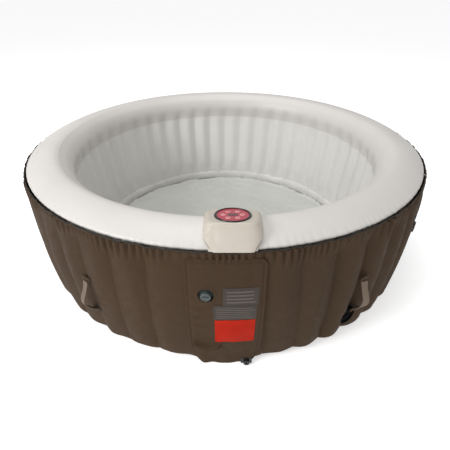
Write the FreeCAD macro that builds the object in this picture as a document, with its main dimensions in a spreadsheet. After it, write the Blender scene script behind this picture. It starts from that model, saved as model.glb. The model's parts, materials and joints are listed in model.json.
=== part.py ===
import FreeCAD, Part
import math
import os
import Sketcher
from FreeCAD import Placement, Rotation, Vector

# Round inflatable hot tub.  Millimetres, +Z up, origin at the centre of the base on the ground.
# The control head faces the front, -Y.  An azimuth is measured from the front towards +X, so the
# azimuth of the right-hand side is 90.  A "radius" is measured from the tub's upright axis.

doc = FreeCAD.newDocument("InflatableHotTub")
sheet = doc.addObject("Spreadsheet::Sheet", "Sizes")

SIZES = [
    # outer wall, a barrel shape bowed outwards, and its rounded foot
    ("wall_max_radius", 1038.8), ("wall_bow", 2200.0), ("wall_wide_height", 395.6),
    ("foot_radius", 46.0), ("cover_top", 592.0), ("cover_skin", 2.5), ("slip", 1.0),
    ("cover_wrap_radius", 932.0), ("skin", 2.5), ("outer_skin_top", 587.0),
    # rim, two arcs that meet at the crest
    ("crest_radius", 891.0), ("crest_height", 650.0), ("rim_inner_arc", 86.0),
    ("rim_outer_arc", 208.8), ("rim_under_angle", 39.0), ("rim_hem_angle", 37.5),
    ("rim_edge_radius", 1026.0), ("rim_edge_height", 590.0),
    ("hem_cord_ring", 1033.0), ("hem_cord_height", 597.0), ("hem_cord_radius", 4.5),
    # inner wall, a cone, and what lies at its foot
    ("inner_foot_radius", 770.0), ("inner_foot_height", 7.0),
    ("inner_top_radius", 824.0), ("inner_top_height", 509.0),
    ("base_radius", 930.0), ("base_thick", 3.0), ("ring_height", 3.5),
    ("floor_radius", 768.5), ("floor_low", 3.5), ("floor_top", 6.0),
    ("band_low", 16.5), ("band_high", 70.0), ("band_arc", 33.0), ("band_skin", 2.0),
    # I-beam webs between the walls
    ("beam_count", 44.0), ("web_thick", 2.0), ("web_low", 12.0), ("web_high", 500.0),
    # pump bay in the front of the wall
    ("bay_half_angle", 9.0), ("bay_skin", 2.0), ("bay_low", 9.0), ("bay_high", 555.0),
    ("window_angle", 13.5), ("window_low", 40.0), ("window_high", 555.0),
    ("panel_angle", 16.1), ("panel_azimuth", 0.15), ("panel_low", 52.0), ("panel_high", 572.0),
    ("panel_skin", 2.5), ("label_skin", 0.8), ("label_gap", 0.2),
    # handles, on the cover
    ("handle_azimuth", 32.7), ("handle_low", 178.0), ("handle_high", 342.0),
    ("handle_width", 26.0), ("handle_thick", 4.0), ("handle_arc", 95.0),
    ("tab_thick", 5.0), ("tab_width", 44.0), ("tab_height", 24.0),
    # buckles for the straps of the lid
    ("buckle_height", 44.0), ("buckle_width", 32.0), ("buckle_thick", 9.0),
    ("buckle_low", 357.0), ("strap_tab_height", 30.0), ("strap_tab_width", 26.0),
    # drain and inflation ports
    ("drain_azimuth", 31.0), ("drain_height", 143.0), ("drain_port_radius", 40.0),
    ("drain_inlet_height", 92.0),
    ("air_azimuth", -3.8), ("air_height", 414.0), ("air_port_radius", 31.0),
    # control head over the rim
    ("head_offset", 27.0), ("head_back", 855.0), ("head_front", 997.0),
    ("head_back_height", 667.5), ("head_front_height", 692.5), ("head_lip_radius", 1036.0),
    ("head_lip_height", 604.0), ("head_top_half", 80.0), ("head_shoulder_half", 102.5),
    ("head_shoulder_height", 639.0), ("head_foot_half", 75.5), ("head_wall", 3.0),
    ("head_clear", 1.5), ("head_front_arc", 150.0), ("head_side_arc", 95.0),
    ("neck_radius", 25.0), ("neck_y", -955.0), ("neck_low", 543.0),
    # keypad, round, on the sloping top of the head
    ("keypad_y", -924.0), ("bezel_outer", 64.5), ("bezel_inner", 50.0), ("bezel_high", 4.5),
    ("bezel_skirt", 57.5), ("skirt_low", -8.5), ("face_low", -2.0), ("face_high", 2.0),
    ("button_ring", 33.0), ("button_radius", 9.0), ("button_high", 3.2),
    ("button_flange", 10.6), ("button_low", -3.6), ("button_gap", 0.3),
    ("window_half_x", 17.0), ("window_half_y", 11.0), ("board_high", -5.0), ("board_low", -6.6),
    # pump unit in the bay
    ("case_half", 118.0), ("case_back", -850.0), ("case_split", -925.0), ("case_front", -990.0),
    ("case_low", 40.0), ("case_high", 540.0), ("case_wall", 3.0), ("post_radius", 7.0),
    ("pump_x", -40.0), ("pump_z", 120.0), ("volute_radius", 50.0), ("impeller_radius", 38.0),
    ("shaft_radius", 4.0), ("shaft_gap", 0.05), ("heater_x", 75.0), ("heater_radius", 25.0),
    ("heater_low", 100.0), ("heater_high", 380.0), ("blower_x", -45.0), ("blower_z", 440.0),
    ("blower_radius", 60.0), ("fan_radius", 48.0), ("pipe_radius", 14.0), ("pipe_bore", 11.0),
    ("return_z", 340.0), ("air_x", -88.0), ("air_z", 54.0), ("air_y", -868.0),
    ("gland_x", 90.0), ("gland_half", 23.0), ("gland_high", 34.0),
    ("gland_front", -1030.0), ("gland_back", -985.0), ("mid_depth", -920.0),
]
for row, (alias, value) in enumerate(SIZES, start=1):
    sheet.set("A%d" % row, alias.replace("_", " "))
    sheet.set("B%d" % row, str(value))
    sheet.setAlias("B%d" % row, alias)
doc.recompute()

NODES = []


def number(expression):
    """The value of an expression in the sheet's sizes."""
    value = sheet.evalExpression(expression)
    return float(getattr(value, "Value", value))


def size(alias):
    return float(sheet.get(alias))


def S(text):
    """Write @name for a size of the sheet, so that expressions stay short."""
    return text.replace("@", "Sizes.")


def keep(thing, label):
    """Name a finished sub-part and put it on the list of what is written."""
    thing.Label = label
    NODES.append(thing)
    return thing


def facing(azimuth, x="0", height="0"):
    """Placement that turns local +X to an azimuth, lifted and moved sideways."""
    turn = Rotation(Vector(0, 0, 1), number(S(azimuth)) - 90.0)
    return Placement(Vector(number(S(x)), 0, number(S(height))), turn)


def arc_middle(start, end, radius, side):
    """Half-way point of the arc from start to end that bulges to its left (+1) or right (-1)."""
    chord = end - start
    sagitta = radius - math.sqrt(radius ** 2 - (chord.Length / 2) ** 2)
    normal = Vector(-chord.y, chord.x, 0).normalize()
    return (start + end) * 0.5 + normal * (side * sagitta)


def fix_point(sketch, geometry, end, across, up, tag):
    """Hold one corner of a sketch at two expressions."""
    for kind, axis, text, letter in (("DistanceX", -2, across, "x"), ("DistanceY", -1, up, "y")):
        if abs(number(text)) < 1e-9:
            sketch.addConstraint(Sketcher.Constraint("PointOnObject", geometry, end, axis))
            continue
        index = sketch.addConstraint(
            Sketcher.Constraint(kind, -1, 1, geometry, end, number(text)))
        name = "%s%d" % (letter, tag)
        sketch.renameConstraint(index, name)
        sketch.setExpression("Constraints." + name, text)


def draw(sketch, corners, first=0):
    """Closed outline.  A corner is (across, up), or (across, up, arc radius, side) where the edge
    that leaves it is an arc."""
    corners = [tuple(S(part) if isinstance(part, str) else part for part in c) for c in corners]
    points = [Vector(number(c[0]), number(c[1]), 0) for c in corners]
    count = len(corners)
    begins, ends = [], []
    for k in range(count):
        p, q = points[k], points[(k + 1) % count]
        if len(corners[k]) == 4:
            radius, side = number(corners[k][2]), corners[k][3]
            forward = side < 0
            near, far = (p, q) if forward else (q, p)
            sketch.addGeometry(Part.Arc(near, arc_middle(p, q, radius, side), far), False)
        else:
            sketch.addGeometry(Part.LineSegment(p, q), False)
            forward = True
        begins.append(1 if forward else 2)
        ends.append(2 if forward else 1)
    for k in range(count):
        after = (k + 1) % count
        sketch.addConstraint(
            Sketcher.Constraint("Coincident", first + k, ends[k], first + after, begins[after]))
    for k in range(count):
        fix_point(sketch, first + k, begins[k], corners[k][0], corners[k][1], first + k)
        if len(corners[k]) == 4:
            index = sketch.addConstraint(
                Sketcher.Constraint("Radius", first + k, number(corners[k][2])))
            sketch.renameConstraint(index, "r%d" % (first + k))
            sketch.setExpression("Constraints.r%d" % (first + k), corners[k][2])
    return first + count


def circle(sketch, across, up, radius, first):
    """Full circle in a sketch."""
    across, up, radius = S(across), S(up), S(radius)
    centre = Vector(number(across), number(up), 0)
    sketch.addGeometry(Part.Circle(centre, Vector(0, 0, 1), number(radius)), False)
    fix_point(sketch, first, 3, across, up, first)
    index = sketch.addConstraint(Sketcher.Constraint("Radius", first, number(radius)))
    sketch.renameConstraint(index, "r%d" % first)
    sketch.setExpression("Constraints.r%d" % first, radius)
    return first + 1


def new_sketch(body, role, name):
    plane = [o for o in body.Origin.OriginFeatures if o.Role == role][0]
    sketch = body.newObject("Sketcher::SketchObject", name)
    sketch.AttachmentSupport = [(plane, "")]
    sketch.MapMode = "FlatFace"
    return sketch


def turned(name, corners, about="V_Axis", sweep=None, place=None):
    """Body turned about the upright axis, or about its own level axis (H_Axis)."""
    body = doc.addObject("PartDesign::Body", name)
    sketch = new_sketch(body, "XZ_Plane", name + "_outline")
    draw(sketch, corners)
    turn = body.newObject("PartDesign::Revolution", name + "_turn")
    turn.Profile = sketch
    turn.ReferenceAxis = (sketch, [about])
    if sweep:
        turn.Midplane = True
        turn.setExpression("Angle", S(sweep))
    if place:
        body.Placement = place
    return body


def padded(name, outlines, depth, role="XZ_Plane", holes=(), place=None):
    """Body made by padding an outline evenly to both sides of its plane."""
    body = doc.addObject("PartDesign::Body", name)
    sketch = new_sketch(body, role, name + "_outline")
    count = 0
    for corners in outlines:
        count = draw(sketch, corners, count)
    for hole in holes:
        count = circle(sketch, *hole, count)
    pad = body.newObject("PartDesign::Pad", name + "_pad")
    pad.Profile = sketch
    pad.Midplane = True
    pad.setExpression("Length", S(depth))
    if place:
        body.Placement = place
    return body


def raised(name, low, high, corners=None, rim=None, holes=(), place=None):
    """Body padded upwards from a level to another, from an outline or a circle, with holes."""
    body = doc.addObject("PartDesign::Body", name)
    sketch = new_sketch(body, "XY_Plane", name + "_outline")
    sketch.setExpression("AttachmentOffset.Base.z", S(low))
    count = draw(sketch, corners) if corners else circle(sketch, "0", "0", rim, 0)
    for hole in holes:
        count = draw(sketch, hole, count) if isinstance(hole, list) else circle(sketch, *hole, count)
    pad = body.newObject("PartDesign::Pad", name + "_pad")
    pad.Profile = sketch
    pad.setExpression("Length", S("(%s) - (%s)" % (high, low)))
    if place:
        body.Placement = place
    return body


def block(name, x0, x1, y0, y1, z0, z1):
    """Box between levels along each axis."""
    box = doc.addObject("Part::Box", name)
    for side, low, high, axis in (("Length", x0, x1, "x"), ("Width", y0, y1, "y"),
                                  ("Height", z0, z1, "z")):
        box.setExpression(side, S("(%s) - (%s)" % (high, low)))
        box.setExpression("Placement.Base." + axis, S(low))
    return box


def rod(name, radius, x, y, z, length, along):
    """Cylinder from a point, along X, along -Y (outwards at the front) or along Z."""
    cylinder = doc.addObject("Part::Cylinder", name)
    cylinder.setExpression("Radius", S(radius))
    cylinder.setExpression("Height", S(length))
    turns = {"X": Rotation(Vector(0, 1, 0), 90), "-Y": Rotation(Vector(1, 0, 0), 90),
             "Z": Rotation()}
    cylinder.Placement = Placement(Vector(), turns[along])
    for axis, text in (("x", x), ("y", y), ("z", z)):
        cylinder.setExpression("Placement.Base." + axis, S(text))
    return cylinder


def fuse(name, *parts):
    union = doc.addObject("Part::MultiFuse", name)
    union.Shapes = list(parts)
    return union


def cut(name, base, *tools):
    """Base without the tools."""
    result = doc.addObject("Part::Cut", name)
    result.Base = base
    result.Tool = tools[0] if len(tools) == 1 else fuse(name + "_tools", *tools)
    return result


def common(name, first, second):
    result = doc.addObject("Part::Common", name)
    result.Base = first
    result.Tool = second
    return result


def group(name, parts):
    """Separate solids kept in one node."""
    compound = doc.addObject("Part::Compound", name)
    compound.Links = list(parts)
    return compound


def wall(height, offset="0"):
    """Radius of the bowed outer wall at a height, an offset outside it."""
    return ("(@wall_max_radius - @wall_bow + sqrt((@wall_bow + (%s)) ^ 2"
            " - ((%s) - @wall_wide_height) ^ 2))" % (offset, height))


def inner_wall(height, offset="0"):
    """Radius of the conical inner wall's visible face at a height."""
    return ("(@inner_foot_radius + (@inner_top_radius - @inner_foot_radius)"
            " * ((%s) - @inner_foot_height) / (@inner_top_height - @inner_foot_height)"
            " + (%s))" % (height, offset))


def bowed_sheet(low, high, inner, outer):
    """Outline of a sheet that lies along the outer wall between two heights."""
    return [(wall(low, outer), low, "@wall_bow + (%s)" % outer, -1), (wall(high, outer), high),
            (wall(high, inner), high, "@wall_bow + (%s)" % inner, 1), (wall(low, inner), low)]


# ---------------------------------------------------------------- cutting tools for the openings

def radial_tool(name, radius, near, far, azimuth, height):
    """Round cutter that runs outwards between two radii at an azimuth and a height."""
    corners = [(near, "0"), (far, "0"), (far, radius), (near, radius)]
    return turned(name, corners, about="H_Axis", place=facing(azimuth, height=height))


FOOT_IN = wall("@foot_radius") + " - @foot_radius"


def wall_section(inner, outer, top, foot_end):
    """Outline of a skin that follows the outer wall and turns in under the foot."""
    turn_out = "@foot_radius + (%s)" % outer
    turn_in = "@foot_radius + (%s)" % inner
    return [(foot_end, "0 - (%s)" % outer), (FOOT_IN, "0 - (%s)" % outer, turn_out, -1),
            (FOOT_IN + " + " + turn_out, "@foot_radius", "@wall_bow + (%s)" % outer, -1),
            (wall(top, outer), top),
            (wall(top, inner), top, "@wall_bow + (%s)" % inner, 1),
            (FOOT_IN + " + " + turn_in, "@foot_radius", turn_in, 1),
            (FOOT_IN, "0 - (%s)" % inner), (foot_end, "0 - (%s)" % inner)]


gland_notch = block("gland_notch", "@gland_x - @gland_half - 1", "@gland_x + @gland_half + 1",
                    "@gland_front - 30", "@gland_back + 50", "-5", "@gland_high + 1")
bay_window = turned(
    "bay_window",
    [("940", "@window_low"), ("1080", "@window_low"), ("1080", "@window_high"),
     ("940", "@window_high")], sweep="@window_angle", place=facing("@panel_azimuth"))
drain_hole = radial_tool("drain_hole", "@drain_port_radius", "980", "1080",
                         "@drain_azimuth", "@drain_height")


# ---------------------------------------------------------------- floor and walls

def make_floor():
    keep(raised("base_sheet_body", "0", "@base_thick", rim="@base_radius"), "base_sheet")
    keep(raised("floor_sheet_body", "@floor_low", "@floor_top", rim="@floor_radius"),
         "floor_sheet")
    ring = raised("bottom_ring", "@ring_height", "@ring_height + @skin", rim=FOOT_IN + " - 0.5",
                  holes=[("0", "0", "@inner_foot_radius - 1")])
    keep(cut("bottom_ring_cut", ring, gland_notch), "wall_bottom_ring")
    low, high = "@band_low", "@band_high"
    band = turned("bubble_band", [
        (inner_wall(low, "-0.5"), low, "@band_arc", 1), (inner_wall(high, "-0.5"), high),
        (inner_wall(high + " - 3", "-0.5"), high + " - 3", "@band_arc - @band_skin", -1),
        (inner_wall(low + " + 3", "-0.5"), low + " + 3")])
    keep(band, "bubble_ring")


def make_walls():
    gap = "(0 - @cover_skin - @slip)"
    sweep = "360 - 2 * @bay_half_angle"
    outline = wall_section(gap + " - @skin", gap, "@outer_skin_top", FOOT_IN + " - 0.2")
    shell = turned("outer_skin_turn", outline, sweep=sweep, place=facing("180"))
    pipe_hole = radial_tool("drain_outer_hole", "@drain_port_radius", "940", "1080",
                            "@drain_azimuth",
                            "@drain_height")
    keep(cut("outer_skin_cut", shell, pipe_hole), "wall_outer_skin")
    low, high = "@inner_foot_height", "@inner_top_height"
    cone = turned("inner_skin_turn", [
        (inner_wall(low), low), (inner_wall(low, "@skin"), low),
        (inner_wall(high, "@skin"), high), (inner_wall(high), high)])
    holes = [
        rod("suction_hole", "@pipe_radius + 0.5", "@pump_x", "-700", "@pump_z", "140", "-Y"),
        rod("return_hole", "@pipe_radius + 0.5", "@heater_x", "-700", "@return_z", "160", "-Y"),
        rod("air_hole", "9.5", "@air_x", "-700", "@air_z", "140", "-Y"),
        radial_tool("drain_inner_hole", "@pipe_radius + 0.5", "700", "860", "@drain_azimuth",
                    "@drain_inlet_height")]
    keep(cut("inner_skin_cut", cone, *holes), "wall_inner_skin")


def rim_outline(offset, closed_below):
    """The rim's two arcs, an offset outside its skin."""
    out = "(%s)" % offset
    centre = "@crest_height - @rim_inner_arc"
    inner = "(@rim_inner_arc + %s)" % out
    outer = "(@rim_outer_arc + %s)" % out
    hem = ("@crest_radius + %s * sin(@rim_hem_angle * 1deg)" % outer,
           "@crest_height - @rim_outer_arc + %s * cos(@rim_hem_angle * 1deg)" % outer)
    top = ("@crest_radius", "@crest_height + %s" % out)
    if closed_below:
        level = ("@crest_radius - " + inner, centre, inner, 1)
        return [("@crest_radius - " + inner, "500"), level, top + (outer, 1), hem,
                ("1060", "590"), ("1060", "500")]
    under = ("@crest_radius - %s * cos(@rim_under_angle * 1deg)" % inner,
             centre + " - %s * sin(@rim_under_angle * 1deg)" % inner)
    return under, inner, top, outer, hem


def make_rim():
    under, arc_in, top, arc_out, hem = rim_outline("0", False)
    under2, arc_in2, top2, arc_out2, hem2 = rim_outline("0 - @skin", False)
    arch = turned("rim_turn", [
        under + (arc_in, 1), top + (arc_out, 1), hem, ("@rim_edge_radius", "@rim_edge_height"),
        ("@rim_edge_radius - @skin", "@rim_edge_height"), hem2 + (arc_out2, -1),
        top2 + (arc_in2, -1), under2])
    neck_hole = rod("neck_hole", "@neck_radius + 1.5", "@head_offset", "@neck_y", "560", "140",
                    "Z")
    keep(cut("rim_cut", arch, neck_hole), "rim_skin")
    cord = doc.addObject("Part::Torus", "hem_cord_torus")
    cord.setExpression("Radius1", S("@hem_cord_ring"))
    cord.setExpression("Radius2", S("@hem_cord_radius"))
    cord.setExpression("Placement.Base.z", S("@hem_cord_height"))
    keep(cord, "hem_cord")


def make_webs():
    """I-beams: one web at every channel crease except the three that the pump bay replaces."""
    missing = 3
    count = int(size("beam_count")) - missing
    step = "360deg / @beam_count"
    body = doc.addObject("PartDesign::Body", "beam_webs")
    sketch = new_sketch(body, "XZ_Plane", "web_outline")
    clear = "(0 - @cover_skin - @slip - @skin - 1.5)"
    low, high = "@web_low", "@web_high"
    draw(sketch, [
        (inner_wall(low, "@skin + 1"), low), (FOOT_IN + " - 4", low),
        (wall("@foot_radius + 12", clear), "@foot_radius + 12"), (wall(high, clear), high),
        (inner_wall(high, "@skin + 1"), high)])
    pad = body.newObject("PartDesign::Pad", "web_pad")
    pad.Profile = sketch
    pad.Midplane = True
    pad.setExpression("Length", S("@web_thick"))
    doc.recompute()
    ring = body.newObject("PartDesign::PolarPattern", "web_ring")
    ring.Originals = [pad]
    axis = [o for o in body.Origin.OriginFeatures if o.Role == "Z_Axis"][0]
    ring.Axis = (axis, [""])
    ring.setExpression("Angle", S("(@beam_count - %d) * %s" % (missing + 1, step)))
    ring.Occurrences = count
    body.Tip = ring
    body.Placement = facing("2 * 360 / @beam_count")
    ways = [radial_tool("drain_way", "@drain_port_radius", "880", "1080", "@drain_azimuth",
                        "@drain_height"),
            radial_tool("drain_way_low", "24", "760", "900", "@drain_azimuth", "80")]
    keep(cut("beam_webs_cut", body, *ways), "i_beam_webs")


def make_bay():
    """Lining of the pump bay: two cheeks and a back."""
    low, high = "@bay_low", "@bay_high"
    cheeks = []
    for side in (-1, 1):
        cheeks.append(padded("bay_cheek_%s" % ("left" if side < 0 else "right"), [[
            ("@inner_top_radius + 12", low), (FOOT_IN, low),
            (wall("@foot_radius + 14", "-8"), "@foot_radius + 14"), (wall(high, "-8"), high),
            ("@inner_top_radius + 12", high)]], "@bay_skin",
            place=facing("%d * (@bay_half_angle - 0.4)" % side)))
    reach = "(@inner_top_radius + 10)"
    back = turned("bay_back", [(reach, low), (reach + " + @bay_skin", low),
                               (reach + " + @bay_skin", high), (reach, high)],
                  sweep="2 * @bay_half_angle - 0.8", place=facing("0"))
    holes = [
        rod("suction_way", "@pipe_radius + 0.5", "@pump_x", "-780", "@pump_z", "80", "-Y"),
        rod("return_way", "@pipe_radius + 0.5", "@heater_x", "-780", "@return_z", "80", "-Y"),
        rod("air_way", "9.5", "@air_x", "-780", "@air_z", "80", "-Y")]
    keep(cut("bay_cut", fuse("bay_walls", back, *cheeks), *holes), "pump_bay_liner")


# ---------------------------------------------------------------- cover and what is sewn to it

def make_cover():
    skirt = turned("skirt_turn", wall_section("0 - @cover_skin", "0", "@cover_top",
                                              "@cover_wrap_radius"))
    keep(cut("skirt_cut", skirt, bay_window, drain_hole, gland_notch), "cover_skirt")
    panel = turned("panel_turn", bowed_sheet("@panel_low", "@panel_high", "0.5",
                                             "0.5 + @panel_skin"),
                   sweep="@panel_angle", place=facing("@panel_azimuth"))
    valve_hole = radial_tool("valve_hole", "@air_port_radius", "980", "1080", "@air_azimuth",
                             "@air_height")
    keep(cut("panel_cut", panel, valve_hole), "cover_pump_panel")
    ring = turned("port_ring", [
        (wall("@drain_height") + " - 3", "@drain_port_radius - 5"),
        (wall("@drain_height") + " + 3.5", "@drain_port_radius - 5"),
        (wall("@drain_height") + " + 3.5", "@drain_port_radius - 1"),
        (wall("@drain_height") + " - 3", "@drain_port_radius - 1")],
        about="H_Axis", place=facing("@drain_azimuth", height="@drain_height"))
    keep(ring, "drain_port_ring")


# Each label's name, lowest and highest edge, and left and right azimuth.
LABELS = [("upper", 367.0, 451.0, -0.6, 7.0), ("lower", 290.0, 365.0, -2.5, 6.8),
          ("red", 154.0, 287.0, -2.4, 6.8)]


def make_labels():
    """Blank labels stuck on the panel."""
    base = "(0.5 + @panel_skin + @label_gap)"
    made = {}
    for name, low, high, left, right in LABELS:
        outline = bowed_sheet(str(low), str(high), base, base + " + @label_skin")
        made[name] = turned("label_" + name, outline, sweep=str(right - left),
                            place=facing(str((left + right) / 2)))
    keep(group("grey_labels", [made["upper"], made["lower"]]), "labels_grey")
    keep(made["red"], "label_red")


HANDLES = [("front_left", "0 - @handle_azimuth"), ("front_right", "@handle_azimuth"),
           ("back_left", "@handle_azimuth - 180"), ("back_right", "180 - @handle_azimuth")]


def make_handles():
    """Webbing loops, each held at its two ends by a sewn tab that the loop swings about."""
    low, high = "@handle_low", "@handle_high"
    foot = wall(high, "@tab_thick + 3.5")
    tabs = []
    for side, azimuth in HANDLES:
        place = facing(azimuth)
        arc = "@handle_arc"
        strap = padded("strap_" + side, [[
            (foot, low + " + 4"), (foot + " + @handle_thick", low + " + 2", arc, -1),
            (foot + " + @handle_thick", high + " - 2"), (foot, high + " - 4"),
            (foot, high + " - 10", arc + " - 9", 1), (foot, low + " + 10")]],
            "@handle_width", place=place)
        keep(strap, "handle_strap_" + side)
        for end, level in (("low", low), ("high", high + " - @tab_height")):
            tabs.append(padded("tab_%s_%s" % (side, end), [[
                (wall(level, "0.3"), level),
                (wall(level, "0.3") + " + @tab_thick", level),
                (wall(level + " + @tab_height", "0.3") + " + @tab_thick",
                 level + " + @tab_height"),
                (wall(level + " + @tab_height", "0.3"), level + " + @tab_height")]],
                "@tab_width", place=place))
    keep(group("handle_tab_group", tabs), "handle_end_tabs")


BUCKLES = [("right", 59.0), ("back", 179.0), ("left", -76.0)]


def make_buckles():
    """Halves of the buckles that hold the lid's straps, each hanging from a webbing tab."""
    low, top = "@buckle_low", "(@buckle_low + @buckle_height)"
    tabs = []
    for side, azimuth in BUCKLES:
        place = facing(str(azimuth))
        near = wall(low, "2.5")
        body = padded("buckle_" + side, [[
            (near, low), (near + " + @buckle_thick", low),
            (near + " + @buckle_thick", top + " - 6"), (near + " + 6", top), (near, top)]],
            "@buckle_width", place=place)
        keep(body, "lid_buckle_" + side)
        level = top + " + 1"
        peak = level + " + @strap_tab_height"
        tabs.append(padded("strap_tab_" + side, [[
            (wall(level, "0.5"), level), (wall(level, "3.5"), level),
            (wall(peak, "3.5"), peak), (wall(peak, "0.5"), peak)]],
            "@strap_tab_width", place=place))
    keep(group("strap_tab_group", tabs), "lid_strap_tabs")


# ---------------------------------------------------------------- drain and inflation port

def swept_pipe(route, radius):
    """Solid rod along straight runs with rounded corners, in the plane of local X and Z."""
    points = [Vector(across, 0, up) for across, up in route]
    path = Part.makePolygon(points)
    profile = Part.Wire(Part.makeCircle(radius, points[0], points[1] - points[0]))
    return path.makePipeShell([profile], True, False, 2)


def make_drain():
    """Drain line: a flanged inlet inside the tub, a pipe through the wall and an outer valve."""
    at = facing("@drain_azimuth", height="@drain_height")
    low, high = size("drain_inlet_height"), size("drain_height")
    start = number(S(inner_wall("@drain_inlet_height"))) - 4
    route = [(start, low), (835, low), (878, high), (905, high)]
    outer, inner = (swept_pipe(route, size(name)) for name in ("pipe_radius", "pipe_bore"))
    inlet = doc.addObject("Part::Feature", "drain_inlet")
    inlet.Shape = outer.cut(inner)
    inlet.Placement = facing("@drain_azimuth")
    keep(inlet, "drain_inlet_pipe")
    face = wall("@drain_height")
    body = turned("drain_body", [
        ("905.5", "14"), (face + " - 26", "14"), (face + " - 26", "22"),
        (face + " - 40", "22"), (face + " - 40", "28"), (face + " - 46", "28"),
        (face + " - 46", "20"), ("905.5", "20")], about="H_Axis", place=at)
    keep(body, "drain_valve_body")
    cap = turned("drain_cap_turn", [
        (face + " - 38", "22.5"), (face + " - 38", "31"), (face + " - 10", "31"),
        (face + " - 6", "27"), (face + " - 6", "0"), (face + " - 24", "0"),
        (face + " - 24", "22.5")], about="H_Axis", place=at)
    keep(cap, "drain_cap")


def make_air_port():
    """Screwed port on the pump unit that the wall is blown up through."""
    at = facing("@air_azimuth", height="@air_height")
    face = wall("@air_height")
    body = turned("air_body", [
        (face + " - 42", "0"), (face + " - 38", "0"), (face + " - 38", "12"),
        (face + " - 10", "12"), (face + " - 10", "16"), (face + " - 28", "16"),
        (face + " - 28", "26"), (face + " - 34", "26"), (face + " - 34", "16"),
        (face + " - 42", "16")], about="H_Axis", place=at)
    keep(body, "air_valve_body")
    cap = turned("air_cap", [
        (face + " - 26", "16.5"), (face + " - 26", "24"), (face + " - 1", "24"),
        (face + " + 2", "21"), (face + " + 2", "0"), (face + " - 8", "0"),
        (face + " - 8", "16.5")], about="H_Axis", place=at)
    keep(cap, "air_valve_cap")


# ---------------------------------------------------------------- control head

def head_block(name, inset):
    """Outer form of the head: its front outline carried back, trimmed by its side outline."""
    by = "(%s)" % inset
    front = padded(name + "_front", [[
        ("0 - @head_foot_half + " + by, "@head_lip_height - 10"),
        ("@head_foot_half - " + by, "@head_lip_height - 10"),
        ("@head_shoulder_half - " + by, "@head_shoulder_height", "@head_side_arc - " + by, -1),
        ("@head_top_half - " + by, "@head_front_height + 8"),
        ("0 - @head_top_half + " + by, "@head_front_height + 8",
         "@head_side_arc - " + by, -1),
        ("0 - @head_shoulder_half + " + by, "@head_shoulder_height")]],
        "260", place=Placement(Vector(size("head_offset"), -940, 0), Rotation()))
    side = padded(name + "_side", [[
        ("0 - @head_back - " + by, "@head_back_height - " + by),
        ("0 - @head_front + " + by, "@head_front_height - " + by, "@head_front_arc - " + by, -1),
        ("0 - @head_lip_radius + " + by, "@head_lip_height"),
        ("0 - @head_back - " + by, "@head_lip_height")]],
        "300", role="YZ_Plane", place=Placement(Vector(size("head_offset"), 0, 0), Rotation()))
    return common(name, front, side)


def make_head():
    whole = head_block("head_form", "0")
    hollow = head_block("head_hollow", "@head_wall")
    over = turned("rim_form_high", rim_outline("@head_clear + @head_wall + 0.2", True))
    under = turned("rim_form_low", rim_outline("@head_clear", True))
    band = turned("rim_form_top", rim_outline("@head_clear + @head_wall", True))
    keypad_hole = doc.addObject("Part::Cylinder", "keypad_hole")
    keypad_hole.setExpression("Radius", S("@bezel_skirt + 0.5"))
    keypad_hole.Height = 60
    keypad_hole.Placement = keypad_frame().multiply(Placement(Vector(0, 0, -30), Rotation()))
    keep(cut("head_shell_cut", whole, hollow, over, keypad_hole), "head_shell")
    plate = common("saddle_plate", cut("saddle_lower", whole, under), band)
    neck = rod("neck_out", "@neck_radius", "@head_offset", "@neck_y", "@neck_low", "140", "Z")
    bore = rod("neck_bore", "@neck_radius - 3", "@head_offset", "@neck_y", "@neck_low - 5",
               "140", "Z")
    trimmed = common("neck_trim", neck, band)
    keep(cut("saddle_cut", fuse("saddle_fuse", plate, trimmed), bore), "head_saddle")


def keypad_frame():
    """Frame of the keypad: its middle on the sloping top, +Z out of the top."""
    run = size("head_front") - size("head_back")
    rise = size("head_front_height") - size("head_back_height")
    slope = math.degrees(math.atan2(rise, run))
    reach = -size("keypad_y") - size("head_back")
    height = size("head_back_height") + reach * rise / run
    centre = Vector(size("head_offset"), size("keypad_y"), height)
    return Placement(centre, Rotation(Vector(1, 0, 0), -slope))


BUTTONS = [("heater", 180), ("bubbles", 0), ("filter", 120), ("power", 60),
           ("cooler", 240), ("warmer", 300)]


def button_place(angle):
    return ("@button_ring * cos(%ddeg)" % angle, "@button_ring * sin(%ddeg)" % angle)


def make_keypad():
    at = keypad_frame()
    bezel = turned("bezel_turn", [
        ("@bezel_inner", "@skirt_low"), ("@bezel_skirt", "@skirt_low"), ("@bezel_skirt", "0.2"),
        ("@bezel_outer", "0.2"), ("@bezel_outer - 1.5", "@bezel_high - 1"),
        ("@bezel_inner + 3", "@bezel_high"), ("@bezel_inner", "@bezel_high - 2")], place=at)
    keep(bezel, "keypad_bezel")
    window = [("0 - @window_half_x", "0 - @window_half_y"), ("@window_half_x", "0 - @window_half_y"),
              ("@window_half_x", "@window_half_y"), ("0 - @window_half_x", "@window_half_y")]
    holes = [button_place(angle) + ("@button_radius + @button_gap",) for _, angle in BUTTONS]
    keep(raised("face_disc", "@face_low", "@face_high", rim="@bezel_inner - 0.2",
                holes=[window] + holes, place=at), "keypad_face")
    lens = [tuple("(%s) * 0.98" % part for part in corner) for corner in window]
    keep(raised("lens_plate", "@face_low", "@face_high + 0.3", corners=lens, place=at),
         "display_lens")
    keep(raised("board_disc", "@board_low", "@board_high", rim="@bezel_inner - 0.5", place=at),
         "keypad_board")
    for name, angle in BUTTONS:
        across, up = button_place(angle)
        middle = at.multiply(Placement(Vector(number(S(across)), number(S(up)), 0), Rotation()))
        button = turned("button_%s_turn" % name, [
            ("0", "@button_low"), ("@button_flange", "@button_low"),
            ("@button_flange", "@face_low - 0.3"), ("@button_radius", "@face_low - 0.3"),
            ("@button_radius", "@button_high - 0.8"), ("@button_radius - 1.2", "@button_high"),
            ("0", "@button_high")], place=middle)
        keep(button, "button_" + name)


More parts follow.
